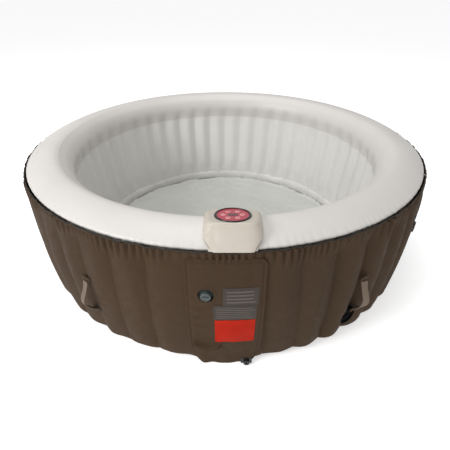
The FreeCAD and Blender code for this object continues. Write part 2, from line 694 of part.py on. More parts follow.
# ---------------------------------------------------------------- pump unit

def make_case():
    """Two-part casing, joined by four screws that run into posts of the back part."""
    inset = "@case_wall"
    low, high = "@case_low", "@case_high"
    half = "@case_half"
    front = cut("case_front_hollow",
                block("case_front_out", "0 - " + half, half, "@case_front", "@case_split",
                      low, high),
                block("case_front_in", "0 - %s + %s" % (half, inset), half + " - " + inset,
                      "@case_front + " + inset, "@case_split + 5", low + " + " + inset,
                      high + " - " + inset))
    back = cut("case_back_hollow",
               block("case_back_out", "0 - " + half, half, "@case_split + 0.2", "@case_back",
                     low, high),
               block("case_back_in", "0 - %s + %s" % (half, inset), half + " - " + inset,
                     "@case_split - 5", "@case_back - " + inset, low + " + " + inset,
                     high + " - " + inset))
    corners = [(x, z) for x in ("@case_half - 11", "11 - @case_half")
               for z in ("@case_low + 11", "@case_high - 11")]
    reach = "@case_back - @case_front - @case_wall - 0.5"
    posts = [rod("post_%d" % k, "@post_radius", x, "@case_back - 1", z, reach + " - 1", "-Y")
             for k, (x, z) in enumerate(corners)]
    bores = [rod("post_bore_%d" % k, "2.5", x, "@case_front + 30", z, "60", "-Y")
             for k, (x, z) in enumerate(corners)]
    screws = []
    for k, (x, z) in enumerate(corners):
        stem = rod("screw_stem_%d" % k, "2.4", x, "@case_front + 27", z, "27.5", "-Y")
        head = rod("screw_head_%d" % k, "5", x, "@case_front - 0.2", z, "3", "-Y")
        screws.append(fuse("screw_%d" % k, stem, head))
    neck_way = rod("neck_way", "@neck_radius + 1", "@head_offset", "@neck_y", "@case_high - 20",
                   "60", "Z")
    valve_way = radial_tool("valve_way", "26.5", "900", "1040", "@air_azimuth", "@air_height")
    ways = [rod("case_suction_way", "@pipe_radius + 0.5", "@pump_x", "-830", "@pump_z", "40",
                "-Y"),
            rod("case_return_way", "@pipe_radius + 0.5", "@heater_x", "-830", "@return_z", "40",
                "-Y"),
            rod("case_air_way", "9.5", "@air_x", "-830", "@air_z", "30", "-Y")]
    keep(cut("case_front_cut", front, valve_way, neck_way, *bores), "pump_case_front")
    posted = fuse("case_back_posted", back, *posts)
    keep(cut("case_back_cut", posted, neck_way, *(ways + bores)), "pump_case_back")
    keep(group("case_screw_group", screws), "case_screws")


def level_turn(name, corners, x, height):
    """Body turned about a level axis that runs outwards at the front."""
    return turned(name, corners, about="H_Axis", place=facing("0", x=x, height=height))


def blades(name, count, inner, outer, near, far, x, height):
    """Ring of plain blades about a level axis."""
    made = []
    for k in range(count):
        blade = block("%s_%d" % (name, k), inner, outer, "-1.5", "1.5", near, far)
        spin = Rotation(Vector(0, 0, 1), 360.0 * k / count)
        lie = Rotation(Vector(1, 0, 0), 90)
        for axis in "xyz":
            blade.setExpression("Placement.Base." + axis, None)
        centre = Placement(Vector(number(S(x)), 0, number(S(height))), lie)
        offset = Placement(Vector(), spin).multiply(
            Placement(Vector(number(S(inner)), -1.5, number(S(near))), Rotation()))
        blade.Placement = centre.multiply(offset)
        made.append(blade)
    return made


def make_circulation_pump():
    x, z = "@pump_x", "@pump_z"
    shaft = "@shaft_radius"
    bore = "(@shaft_radius + @shaft_gap)"
    volute = level_turn("volute", [
        ("900", "@pipe_bore"), ("904", "@pipe_bore"), ("904", "@volute_radius - 6"),
        ("936", "@volute_radius - 6"), ("936", bore), ("940", bore),
        ("940", "@volute_radius"), ("900", "@volute_radius")], x, z)
    outlet = rod("volute_outlet", "@pipe_bore", x, "@mid_depth", "@pump_z - 22", "80", "X")
    keep(cut("volute_cut", volute, outlet), "circulation_volute")
    hub = level_turn("impeller_hub", [
        ("914", "0"), ("972", "0"), ("972", shaft), ("933", shaft), ("933", "@impeller_radius"),
        ("929", "@impeller_radius"), ("929", "10"), ("914", "10")], x, z)
    ring = blades("impeller_blade", 6, "8", "@impeller_radius - 1", "912", "930", x, z)
    keep(fuse("impeller_fuse", hub, *ring), "circulation_impeller")
    motor = level_turn("pump_motor_turn", [
        ("940.5", bore), ("975", bore), ("975", "0"), ("984", "0"), ("984", "36"),
        ("940.5", "36")], x, z)
    keep(motor, "circulation_motor")


def make_heater():
    tube = cut("heater_hollow",
               rod("heater_out", "@heater_radius", "@heater_x", "@mid_depth", "@heater_low",
                   "@heater_high - @heater_low", "Z"),
               rod("heater_in", "@heater_radius - 2", "@heater_x", "@mid_depth",
                   "@heater_low + 3", "@heater_high - @heater_low - 6", "Z"),
               rod("heater_inlet", "@pipe_radius + 0.3", "@heater_x - 40", "@mid_depth",
                   "@pump_z - 2", "40", "X"),
               rod("heater_outlet", "@pipe_radius + 0.3", "@heater_x", "@mid_depth + 40",
                   "@return_z", "40", "-Y"))
    keep(tube, "heater_tube")


def make_pipes():
    def pipe(name, x, y, z, length, along):
        outer = rod(name + "_out", "@pipe_radius", x, y, z, length, along)
        inner = rod(name + "_in", "@pipe_bore", x, y, z, length, along)
        return cut(name, outer, inner)

    suction = pipe("suction_pipe_cut", "@pump_x", "-785", "@pump_z", "114.5", "-Y")
    back = pipe("return_pipe_cut", "@heater_x", "-808", "@return_z", "88", "-Y")
    link = pipe("link_pipe_cut", "@pump_x + @volute_radius - 3", "@mid_depth", "@pump_z - 2",
                "@heater_x - @heater_radius - @pump_x - @volute_radius + 4", "X")
    link = cut("link_trim", link, rod("volute_keepout", "@volute_radius + 0.3", "@pump_x",
                                      "-895", "@pump_z", "50", "-Y"))
    down = cut("air_down",
               fuse("air_pipe_fuse",
                    rod("air_drop", "9", "@air_x", "@air_y", "@air_z - 9", "300", "Z"),
                    rod("air_foot", "9", "@air_x", "-772", "@air_z", "96", "-Y")),
               rod("air_drop_in", "7", "@air_x", "@air_y", "@air_z", "320", "Z"),
               rod("air_foot_in", "7", "@air_x", "-765", "@air_z", "103", "-Y"))
    keep(group("pipe_group", [suction, back, link, down]), "pump_unit_pipes")


def make_blower():
    x, z = "@blower_x", "@blower_z"
    bore = "(@shaft_radius + @shaft_gap)"
    housing = level_turn("blower_shell", [
        ("880", "18"), ("883", "18"), ("883", "@blower_radius - 3"),
        ("927", "@blower_radius - 3"), ("927", bore), ("930", bore),
        ("930", "@blower_radius"), ("880", "@blower_radius")], x, z)
    outlet = rod("blower_outlet", "12", "@blower_x - @blower_radius + 14", "-905",
                 "@blower_z - 90", "60", "Z")
    keep(cut("blower_cut", housing, outlet), "blower_housing")
    hub = level_turn("fan_hub", [
        ("888", "0"), ("962", "0"), ("962", "@shaft_radius"), ("922", "@shaft_radius"),
        ("922", "@fan_radius"), ("919", "@fan_radius"), ("919", "12"), ("888", "12")], x, z)
    ring = blades("fan_blade", 12, "@fan_radius - 16", "@fan_radius - 1", "889", "920", x, z)
    keep(fuse("fan_fuse", hub, *ring), "blower_fan")
    motor = level_turn("blower_motor_turn", [
        ("930.5", bore), ("965", bore), ("965", "0"), ("972", "0"), ("972", "30"),
        ("930.5", "30")], x, z)
    keep(motor, "blower_motor")


def make_check_valve():
    """One-way valve that keeps water out of the blower: a seat and a flap above it."""
    x, y = "@air_x", "@air_y"
    body = cut("check_body_cut",
               rod("check_out", "14", x, y, "347", "34", "Z"),
               rod("check_bore", "7", x, y, "345", "10", "Z"),
               rod("check_room", "12", x, y, "352", "40", "Z"))
    keep(body, "check_valve_body")
    keep(rod("flap_disc", "9", x, y, "352.4", "2", "Z"), "check_valve_flap")


def make_board():
    """Control board on the back of the case, with its transformer."""
    board = block("board_plate", "-30", "100", "-860", "-858", "400", "520")
    core = block("board_core", "40", "90", "-895", "-860", "440", "490")
    keep(fuse("board_fuse", board, core), "control_board")


def make_gland():
    body = block("gland_body", "@gland_x - @gland_half", "@gland_x + @gland_half",
                 "@gland_front + 14", "@gland_back", "0.3", "@gland_high")
    nose = rod("gland_nose", "13", "@gland_x", "@gland_front + 15", "@gland_high / 2", "15",
               "-Y")
    bore = rod("gland_bore", "5", "@gland_x", "@gland_back + 5", "@gland_high / 2", "60", "-Y")
    keep(cut("gland_cut", fuse("gland_fuse", body, nose), bore), "cord_gland")


# ---------------------------------------------------------------- fittings in the tub

def make_fittings():
    """Filter and return nozzle on the inside of the front wall, under the control head."""
    beyond = turned("behind_inner_wall", [
        (inner_wall("20", "-0.4"), "20"), ("900", "20"), ("900", "480"),
        (inner_wall("480", "-0.4"), "480")])
    flange = level_turn("filter_flange", [
        ("700", "12"), ("800", "12"), ("800", "44"), ("762", "44"), ("762", "24"),
        ("700", "24")], "@pump_x", "@pump_z")
    keep(cut("filter_base_cut", flange, beyond), "filter_base")
    cartridge = level_turn("cartridge_turn", [
        ("672", "24.5"), ("758", "24.5"), ("758", "52"), ("672", "52")], "@pump_x", "@pump_z")
    keep(cartridge, "filter_cartridge")
    cap = level_turn("filter_cap_turn", [
        ("664", "0"), ("671.5", "0"), ("671.5", "54"), ("668", "54"), ("664", "50")],
        "@pump_x", "@pump_z")
    keep(cap, "filter_cap")
    nozzle = level_turn("nozzle_turn", [
        ("774", "8"), ("830", "8"), ("830", "30"), ("790", "30"), ("784", "22"),
        ("774", "14")], "@heater_x", "@return_z")
    keep(cut("nozzle_cut", nozzle, beyond), "return_nozzle")


make_floor()
make_walls()
make_rim()
make_webs()
make_bay()
make_cover()
make_labels()
make_handles()
make_buckles()
make_drain()
make_air_port()
make_head()
make_keypad()
make_case()
make_circulation_pump()
make_heater()
make_pipes()
make_blower()
make_check_valve()
make_board()
make_gland()
make_fittings()
doc.recompute()

broken = [o.Name for o in doc.Objects if "Invalid" in o.State or "Error" in o.State]
if broken:
    raise RuntimeError("failed features: " + ", ".join(broken))
for node in NODES:
    if node.Shape.isNull() or not node.Shape.isValid():
        raise RuntimeError(node.Label + " has no valid shape")
os.makedirs("parts", exist_ok=True)
for node in NODES:
    node.Shape.exportStep("parts/%s.step" % node.Label)
print(len(NODES), "nodes written")
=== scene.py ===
import json
import math

import bmesh
import bpy
import numpy as np
from mathutils import Matrix, Vector


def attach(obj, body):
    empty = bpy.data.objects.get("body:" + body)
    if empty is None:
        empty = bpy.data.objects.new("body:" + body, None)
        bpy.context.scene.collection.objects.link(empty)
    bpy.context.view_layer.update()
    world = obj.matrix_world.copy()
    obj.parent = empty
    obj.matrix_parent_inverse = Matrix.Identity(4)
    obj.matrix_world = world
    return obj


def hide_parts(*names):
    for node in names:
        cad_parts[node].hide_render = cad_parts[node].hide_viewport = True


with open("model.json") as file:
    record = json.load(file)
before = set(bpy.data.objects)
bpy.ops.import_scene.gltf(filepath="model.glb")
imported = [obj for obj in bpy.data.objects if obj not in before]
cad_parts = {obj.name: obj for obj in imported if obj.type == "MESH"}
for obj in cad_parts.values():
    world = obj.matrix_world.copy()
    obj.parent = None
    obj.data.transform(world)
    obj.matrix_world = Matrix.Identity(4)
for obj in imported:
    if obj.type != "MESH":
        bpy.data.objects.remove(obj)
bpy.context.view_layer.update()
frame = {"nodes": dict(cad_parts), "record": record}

bl_info = {
    "name": "Inflatable hot tub finisher",
    "version": (1, 0, 0),
    "blender": (4, 5, 0),
    "location": "3D View > Sidebar > Hot Tub",
    "description": "Dresses the hot tub frame in vinyl, cover cloth, straps and moulded parts",
    "category": "Object",
}

MM = 0.001
TURN = 360.0

# The tub's own outline, in millimetres, as the frame has it.
WALL_BOW = 2200.0
WALL_REACH = 1038.8
WALL_WIDEST_Z = 395.6
INNER_FOOT = 770.0
INNER_LEAN = 54.0
INNER_LOW = 7.0
INNER_TALL = 502.0
CREST_R = 891.0
INSIDE_ARC = (564.0, 86.0)
OUTSIDE_ARC = (441.2, 208.8)
RIM_START = (824.2, 509.9)
RIM_END = (1018.1, 606.9)
HEM_R = 1033.0
HEM_Z = 597.0
FOOT_ARC = 46.0
FOOT_IN = 965.0
BASE_R = 930.0
COVER_R = 1025.0
PANEL_R = 1040.0
HEM_STEPS = 1760
PANEL_TURN = 0.15
PANEL_HALF = 8.05
VALVE_AT = (-3.8, 414.0)
DRAIN_AT = (31.0, 143.0)
HEAD_BACK = 855.0
HEAD_FRONT = 997.0
HEAD_SLOPE = 25.0 / 142.0
KEYPAD_SEAT = 52.0
KEYPAD_RING = 65.5
KEYPAD_AT = (27.0, -924.0, 679.65)
KEYPAD_TILT = 9.985


# ---------------------------------------------------------------- curves and small sums


def on_round(reach, turn, height):
    """Points at a distance from the tub's axis, turned from the front towards the right, in metres."""
    angle = np.radians(turn)
    reach, angle, height = np.broadcast_arrays(
        np.asarray(reach, float), angle, np.asarray(height, float)
    )
    return np.stack([reach * np.sin(angle), -reach * np.cos(angle), height], axis=-1) * MM


def round_turns(columns):
    """Evenly spaced turns round the tub, in degrees."""
    return np.arange(columns) * TURN / columns


def from_front(turn):
    """A turn counted from the front, from -180 to 180 degrees."""
    return (turn + 180) % TURN - 180


def outward(turn):
    """The way that the wall faces at a turn round the tub."""
    angle = math.radians(turn)
    return Vector((math.sin(angle), -math.cos(angle), 0))


def sideways(turn):
    """The way along the wall at a turn round the tub."""
    angle = math.radians(turn)
    return Vector((math.cos(angle), math.sin(angle), 0))


def smooth(low, high, value):
    """Runs from 0 at low to 1 at high, without corners."""
    share = np.clip((np.asarray(value, float) - low) / (high - low), 0, 1)
    return share * share * (3 - 2 * share)


def hump(value, centre, width):
    """A bell that is 1 at its centre."""
    return np.exp(-(((np.asarray(value, float) - centre) / width) ** 2))


def wander(turn, waves, seed):
    """A closed wander round the tub from whole numbers of waves, about -1 to 1."""
    draw = np.random.default_rng(seed)
    total = 0.0
    for count in waves:
        total = total + np.cos(np.radians(turn) * count + draw.uniform(0, 2 * math.pi))
    return total / len(waves) ** 0.5


def ruffle(across, along, size, seed, count=9):
    """Crossed soft waves over a surface, about -1 to 1."""
    draw = np.random.default_rng(seed)
    total = 0.0
    for _ in range(count):
        heading = draw.uniform(0, math.pi)
        pitch = size * draw.uniform(0.6, 1.7)
        phase = draw.uniform(0, 2 * math.pi)
        run = across * math.cos(heading) + along * math.sin(heading)
        total = total + np.cos(2 * math.pi * run / pitch + phase)
    return total / count ** 0.5


def gathers(turn, count, seed):
    """Uneven sharp pleats round the tub, 0 in a fold and 1 on a crown."""
    drift = 2.2 * wander(turn, (5, 9, 14, 23), seed)
    return np.abs(np.cos(np.radians(turn) * count / 2 + drift)) ** 0.7


def wall_reach(height, off=0.0):
    """How far the cover stands from the tub's axis at a height."""
    return (
        WALL_REACH
        - WALL_BOW
        + np.sqrt((WALL_BOW + off) ** 2 - (np.asarray(height, float) - WALL_WIDEST_Z) ** 2)
    )


def inner_reach(height):
    """How far the inner wall stands from the tub's axis at a height: it leans outwards."""
    return INNER_FOOT + INNER_LEAN * (height - INNER_LOW) / INNER_TALL


def rim_top(reach):
    """The height of the rim's top at a distance from the tub's axis."""
    reach = np.asarray(reach, float)
    centre = np.where(reach < CREST_R, INSIDE_ARC[0], OUTSIDE_ARC[0])
    radius = np.where(reach < CREST_R, INSIDE_ARC[1], OUTSIDE_ARC[1])
    return centre + np.sqrt(np.maximum(radius**2 - (reach - CREST_R) ** 2, 0))


def channel_swell(turn, count):
    """How far a channel swells between two seams: 0 at a seam and 1 midway."""
    share = (np.asarray(turn, float) * count / TURN) % 1.0
    taut = 1 - (2 * share - 1) ** 2
    slack = 0.5 - 0.5 * np.cos(2 * math.pi * share)
    return 0.35 * taut + 0.65 * slack


# ---------------------------------------------------------------- making meshes


def link(mesh, name):
    """Makes an object of a mesh and links it to the scene."""
    piece = bpy.data.objects.new(name, mesh)
    bpy.context.scene.collection.objects.link(piece)
    return piece


def dress(piece, finish, slot, body, *nodes):
    """Gives a piece its finish, lets it ride on a body, and takes the place of nodes; the slot is not
    used.
    """
    if finish is not None:
        piece.data.materials.clear()
        piece.data.materials.append(bpy.data.materials[finish])
    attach(piece, body)
    if nodes:
        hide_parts(*nodes)
    return piece


def lay(name, points, closed=True, keep=None):
    """A surface over a grid of points (rows, columns, 3), with its lengths in metres as UV."""
    rows, columns = points.shape[:2]
    index = np.arange(rows * columns).reshape(rows, columns)
    left = index if closed else index[:, :-1]
    right = np.roll(index, -1, axis=1) if closed else index[:, 1:]
    quads = np.stack([left[:-1], right[:-1], right[1:], left[1:]], axis=-1)
    step = np.linalg.norm(np.diff(points, axis=0), axis=-1).mean(axis=1)
    along = np.concatenate([[0.0], np.cumsum(step)])
    ring = np.linalg.norm(points - np.roll(points, 1, axis=1), axis=-1)
    if not closed:
        ring[:, 0] = 0.0
    span = float(np.median(ring[:, 1:]))
    across = np.arange(columns + 1) * span
    spots = left.shape[1]
    low, high = along[:-1], along[1:]
    corner = np.zeros(quads.shape[:2] + (4, 2))
    corner[..., 0, 0] = corner[..., 3, 0] = across[:spots]
    corner[..., 1, 0] = corner[..., 2, 0] = across[1 : spots + 1]
    corner[..., 0, 1] = corner[..., 1, 1] = low[:, None]
    corner[..., 2, 1] = corner[..., 3, 1] = high[:, None]
    quads = quads.reshape(-1, 4)
    corner = corner.reshape(-1, 4, 2)
    if keep is not None:
        quads = quads[keep.reshape(-1)]
        corner = corner[keep.reshape(-1)]
    mesh = bpy.data.meshes.new(name)
    mesh.from_pydata(points.reshape(-1, 3).tolist(), [], quads.tolist())
    cloth = mesh.uv_layers.new(name="cloth")
    cloth.data.foreach_set("uv", corner.reshape(-1))
    mesh.polygons.foreach_set("use_smooth", [True] * len(mesh.polygons))
    mesh.update()
    if keep is not None:
        tidy = bmesh.new()
        tidy.from_mesh(mesh)
        loose = [v for v in tidy.verts if not v.link_faces]
        bmesh.ops.delete(tidy, geom=loose, context="VERTS")
        tidy.to_mesh(mesh)
        tidy.free()
    return link(mesh, name)


def settle(piece):
    """Applies a piece's modifiers to its mesh."""
    bpy.context.view_layer.update()
    seen = piece.evaluated_get(bpy.context.evaluated_depsgraph_get())
    mesh = bpy.data.meshes.new_from_object(seen)
    piece.modifiers.clear()
    piece.data = mesh
    return piece


def build(name, work, smooth_faces=True, bevel=0.0, rounds=2, subdivide=0):
    """A mesh from a function that fills a bmesh in millimetres."""
    form = bmesh.new()
    work(form)
    bmesh.ops.recalc_face_normals(form, faces=form.faces)
    bmesh.ops.scale(form, vec=(MM, MM, MM), verts=form.verts)
    mesh = bpy.data.meshes.new(name)
    form.to_mesh(mesh)
    form.free()
    mesh.polygons.foreach_set("use_smooth", [smooth_faces] * len(mesh.polygons))
    piece = link(mesh, name)
    if bevel:
        edge = piece.modifiers.new("edges", "BEVEL")
        edge.width = bevel * MM
        edge.segments = rounds
        edge.limit_method = "ANGLE"
        edge.angle_limit = math.radians(35)
        edge.harden_normals = False
    if subdivide:
        finer = piece.modifiers.new("finer", "SUBSURF")
        finer.levels = subdivide
        finer.render_levels = subdivide
    if bevel or subdivide:
        settle(piece)
    return piece


def plate(form, outline, low, high, lift=None):
    """A flat moulded plate: an outline of (x, y) points between two heights."""
    rings = []
    for height in (low, high):
        rings.append([form.verts.new((x, y, height)) for x, y in outline])
    count = len(outline)
    form.faces.new(rings[0][::-1])
    form.faces.new(rings[1])
    for i in range(count):
        j = (i + 1) % count
        form.faces.new((rings[0][i], rings[0][j], rings[1][j], rings[1][i]))
    verts = rings[0] + rings[1]
    if lift is not None:
        for v in verts:
            v.co = lift(v.co)
    return verts


def rounded(width, tall, radius, steps=5, centre=(0.0, 0.0)):
    """The outline of a rectangle with round corners."""
    points = []
    for corner, (sx, sy) in enumerate(((1, 1), (-1, 1), (-1, -1), (1, -1))):
        for k in range(steps + 1):
            angle = math.radians(90 * corner + 90 * k / steps)
            x = sx * (width / 2 - radius) + radius * math.cos(angle)
            y = sy * (tall / 2 - radius) + radius * math.sin(angle)
            points.append((centre[0] + x, centre[1] + y))
    return points


def ring_of(radius, count=32, centre=(0.0, 0.0), start=0.0):
    """Points on a circle."""
    return [
        (
            centre[0] + radius * math.cos(start + 2 * math.pi * k / count),
            centre[1] + radius * math.sin(start + 2 * math.pi * k / count),
        )
        for k in range(count)
    ]


def skin_rings(form, rings, ends=()):
    """Joins closed rings of vertices with faces, and closes the rings that ends names."""
    for low, high in zip(rings, rings[1:]):
        for k in range(len(low)):
            j = (k + 1) % len(low)
            form.faces.new((low[k], low[j], high[j], high[k]))
    for end in ends:
        form.faces.new(rings[end])


def turned_rings(form, outline, count, place, reach_at=lambda radius, angle: radius):
    """Rings about an axis from an outline of (radius, height); reach_at shapes each ring."""
    rings = []
    for radius, height in outline:
        ring = []
        for k in range(count):
            angle = 2 * math.pi * k / count
            reach = reach_at(radius, angle)
            spot = Vector((reach * math.cos(angle), reach * math.sin(angle), height))
            ring.append(form.verts.new(place @ spot))
        rings.append(ring)
    return rings


def placed(out, along, spot):
    """A frame whose X runs along the wall, whose Y is up and whose Z is the given way out."""
    return Matrix(
        (
            (along.x, 0, out.x, spot.x),
            (along.y, 0, out.y, spot.y),
            (along.z, 1, out.z, spot.z),
            (0, 0, 0, 1),
        )
    )


def on_wall(turn, height, off):
    """A frame on the wall: X along it, Y up it, Z outwards, in millimetres."""
    out = outward(turn)
    spot = out * (float(wall_reach(height)) + off) + Vector((0, 0, height))
    return placed(out, sideways(turn), spot)


def keypad_place():
    """A frame on the keypad: Z along its tilted normal, in millimetres."""
    tilt = Matrix.Rotation(-math.radians(KEYPAD_TILT), 4, "X")
    return Matrix.Translation(Vector(KEYPAD_AT)) @ tilt


# ---------------------------------------------------------------- finishes


class Tree:
    """Lays nodes out from left to right and joins them."""

    def __init__(self, tree):
        self.tree = tree
        self.column = 0

    def add(self, kind, label="", values=None, **settings):
        node = self.tree.nodes.new(kind)
        node.location = (self.column * 190, -120 * (self.column % 3))
        self.column += 1
        node.label = label
        for name, value in settings.items():
            setattr(node, name, value)
        for name, value in (values or {}).items():
            node.inputs[name].default_value = value
        return node

    def join(self, source, target):
        self.tree.links.new(source, target)

    def sum(self, kind, first, second, clamp=False):
        node = self.add("ShaderNodeMath", operation=kind, use_clamp=clamp)
        for slot, value in enumerate((first, second)):
            if isinstance(value, (int, float)):
                node.inputs[slot].default_value = value
            else:
                self.join(value, node.inputs[slot])
        return node.outputs[0]


def new_group(name, inputs, outputs):
    """A shader node group with named sockets."""
    group = bpy.data.node_groups.new(name, "ShaderNodeTree")
    for label, kind, value in inputs:
        socket = group.interface.new_socket(label, in_out="INPUT", socket_type=kind)
        if value is not None:
            socket.default_value = value
    for label, kind in outputs:
        group.interface.new_socket(label, in_out="OUTPUT", socket_type=kind)
    tree = Tree(group)
    start = tree.add("NodeGroupInput")
    return tree, start


FLOAT = "NodeSocketFloat"
VECTOR = "NodeSocketVector"


def make_mottling():
    """Slow patches and small specks, for colour that is never quite even."""
    tree, start = new_group(
        "mottling",
        [("Place", VECTOR, None), ("Patches", FLOAT, 3.0), ("Specks", FLOAT, 60.0)],
        [("Patch", FLOAT), ("Speck", FLOAT)],
    )
    end = tree.add("NodeGroupOutput")
    for size, out, low, high in (("Patches", "Patch", 0.34, 0.68), ("Specks", "Speck", 0.3, 0.72)):
        noise = tree.add("ShaderNodeTexNoise", size, {"Detail": 3.0, "Roughness": 0.55})
        spread = tree.add("ShaderNodeMapRange", values={"From Min": low, "From Max": high})
        tree.join(start.outputs["Place"], noise.inputs["Vector"])
        tree.join(start.outputs[size], noise.inputs["Scale"])
        tree.join(noise.outputs["Fac"], spread.inputs["Value"])
        tree.join(spread.outputs["Result"], end.inputs[out])


def make_pressed_grain():
    """The fine pebbled face that rollers press into vinyl and moulders into plastic."""
    tree, start = new_group(
        "pressed_grain",
        [("Place", VECTOR, None), ("Pebbles", FLOAT, 400.0), ("Wrinkles", FLOAT, 18.0)],
        [("Height", FLOAT), ("Hollow", FLOAT)],
    )
    end = tree.add("NodeGroupOutput")
    pebble = tree.add("ShaderNodeTexVoronoi", feature="SMOOTH_F1")
    tree.join(start.outputs["Place"], pebble.inputs["Vector"])
    tree.join(start.outputs["Pebbles"], pebble.inputs["Scale"])
    crease = tree.add("ShaderNodeTexNoise", "creases", {"Detail": 4.0, "Distortion": 0.6})
    tree.join(start.outputs["Place"], crease.inputs["Vector"])
    tree.join(start.outputs["Wrinkles"], crease.inputs["Scale"])
    low = tree.sum("MULTIPLY", pebble.outputs["Distance"], 0.35)
    both = tree.sum("ADD", low, crease.outputs["Fac"])
    tree.join(both, end.inputs["Height"])
    # The Hollow output is the mask for painted shade in the grain's low parts.
    tree.join(pebble.outputs["Distance"], end.inputs["Hollow"])


def make_woven_threads():
    """Plain weave: each thread goes over one and under the next."""
    tree, start = new_group(
        "woven_threads",
        [("Place", VECTOR, None), ("Threads", FLOAT, 500.0), ("Slub", FLOAT, 30.0)],
        [("Height", FLOAT), ("Gap", FLOAT), ("Streak", FLOAT)],
    )
    end = tree.add("NodeGroupOutput")
    parts = tree.add("ShaderNodeSeparateXYZ")
    tree.join(start.outputs["Place"], parts.inputs[0])
    waves = []
    for axis in ("X", "Y"):
        run = tree.sum("MULTIPLY", parts.outputs[axis], start.outputs["Threads"])
        waves.append(tree.sum("SINE", tree.sum("MULTIPLY", run, math.pi), 0.0))
    over = tree.sum("GREATER_THAN", tree.sum("MULTIPLY", waves[0], waves[1]), 0.0)
    under = tree.sum("SUBTRACT", 1.0, over)
    warp = tree.sum("MULTIPLY", tree.sum("ABSOLUTE", waves[0], 0.0), over)
    weft = tree.sum("MULTIPLY", tree.sum("ABSOLUTE", waves[1], 0.0), under)
    height = tree.sum("ADD", warp, weft)
    stretch = tree.add("ShaderNodeMapping", values={"Scale": (1.0, 0.08, 1.0)})
    tree.join(start.outputs["Place"], stretch.inputs["Vector"])
    slub = tree.add("ShaderNodeTexNoise", "slubs", {"Detail": 2.0})
    tree.join(stretch.outputs["Vector"], slub.inputs["Vector"])
    tree.join(start.outputs["Slub"], slub.inputs["Scale"])
    tree.join(height, end.inputs["Height"])
    # The Gap output is the mask for painted shade between the threads.
    tree.join(tree.sum("SUBTRACT", 1.0, height, True), end.inputs["Gap"])
    tree.join(slub.outputs["Fac"], end.inputs["Streak"])


def make_handling_wear():
    """Scuffs and settled dust, stronger low down where the part is knocked and stood on."""
    tree, start = new_group(
        "handling_wear",
        [("Place", VECTOR, None), ("Height", FLOAT, 0.0), ("Reach", FLOAT, 0.12)],
        [("Dust", FLOAT), ("Scuff", FLOAT)],
    )
    end = tree.add("NodeGroupOutput")
    cloud = tree.add("ShaderNodeTexNoise", "dust", {"Scale": 9.0, "Detail": 5.0, "Roughness": 0.65})
    tree.join(start.outputs["Place"], cloud.inputs["Vector"])
    rise = tree.sum("DIVIDE", start.outputs["Height"], start.outputs["Reach"])
    low = tree.sum("SUBTRACT", 1.0, rise, True)
    tree.join(tree.sum("MULTIPLY", low, cloud.outputs["Fac"]), end.inputs["Dust"])
    stretch = tree.add("ShaderNodeMapping", values={"Scale": (14.0, 3.0, 40.0)})
    tree.join(start.outputs["Place"], stretch.inputs["Vector"])
    rub = tree.add("ShaderNodeTexNoise", "scuffs", {"Scale": 1.6, "Detail": 2.0})
    tree.join(stretch.outputs["Vector"], rub.inputs["Vector"])
    band = tree.add("ShaderNodeMapRange", values={"From Min": 0.62, "From Max": 0.74})
    tree.join(rub.outputs["Fac"], band.inputs["Value"])
    tree.join(band.outputs["Result"], end.inputs["Scuff"])


def use_group(tree, name, place, **values):
    """Adds one of the shared effects to a finish, with its place and values set."""
    node = tree.add("ShaderNodeGroup", node_tree=bpy.data.node_groups[name])
    tree.join(place, node.inputs["Place"])
    for label, value in values.items():
        node.inputs[label].default_value = value
    return node


def shade(colour, factor):
    """A colour made darker or lighter by a factor."""
    return tuple(min(1.0, c * factor) for c in colour[:3]) + (1.0,)


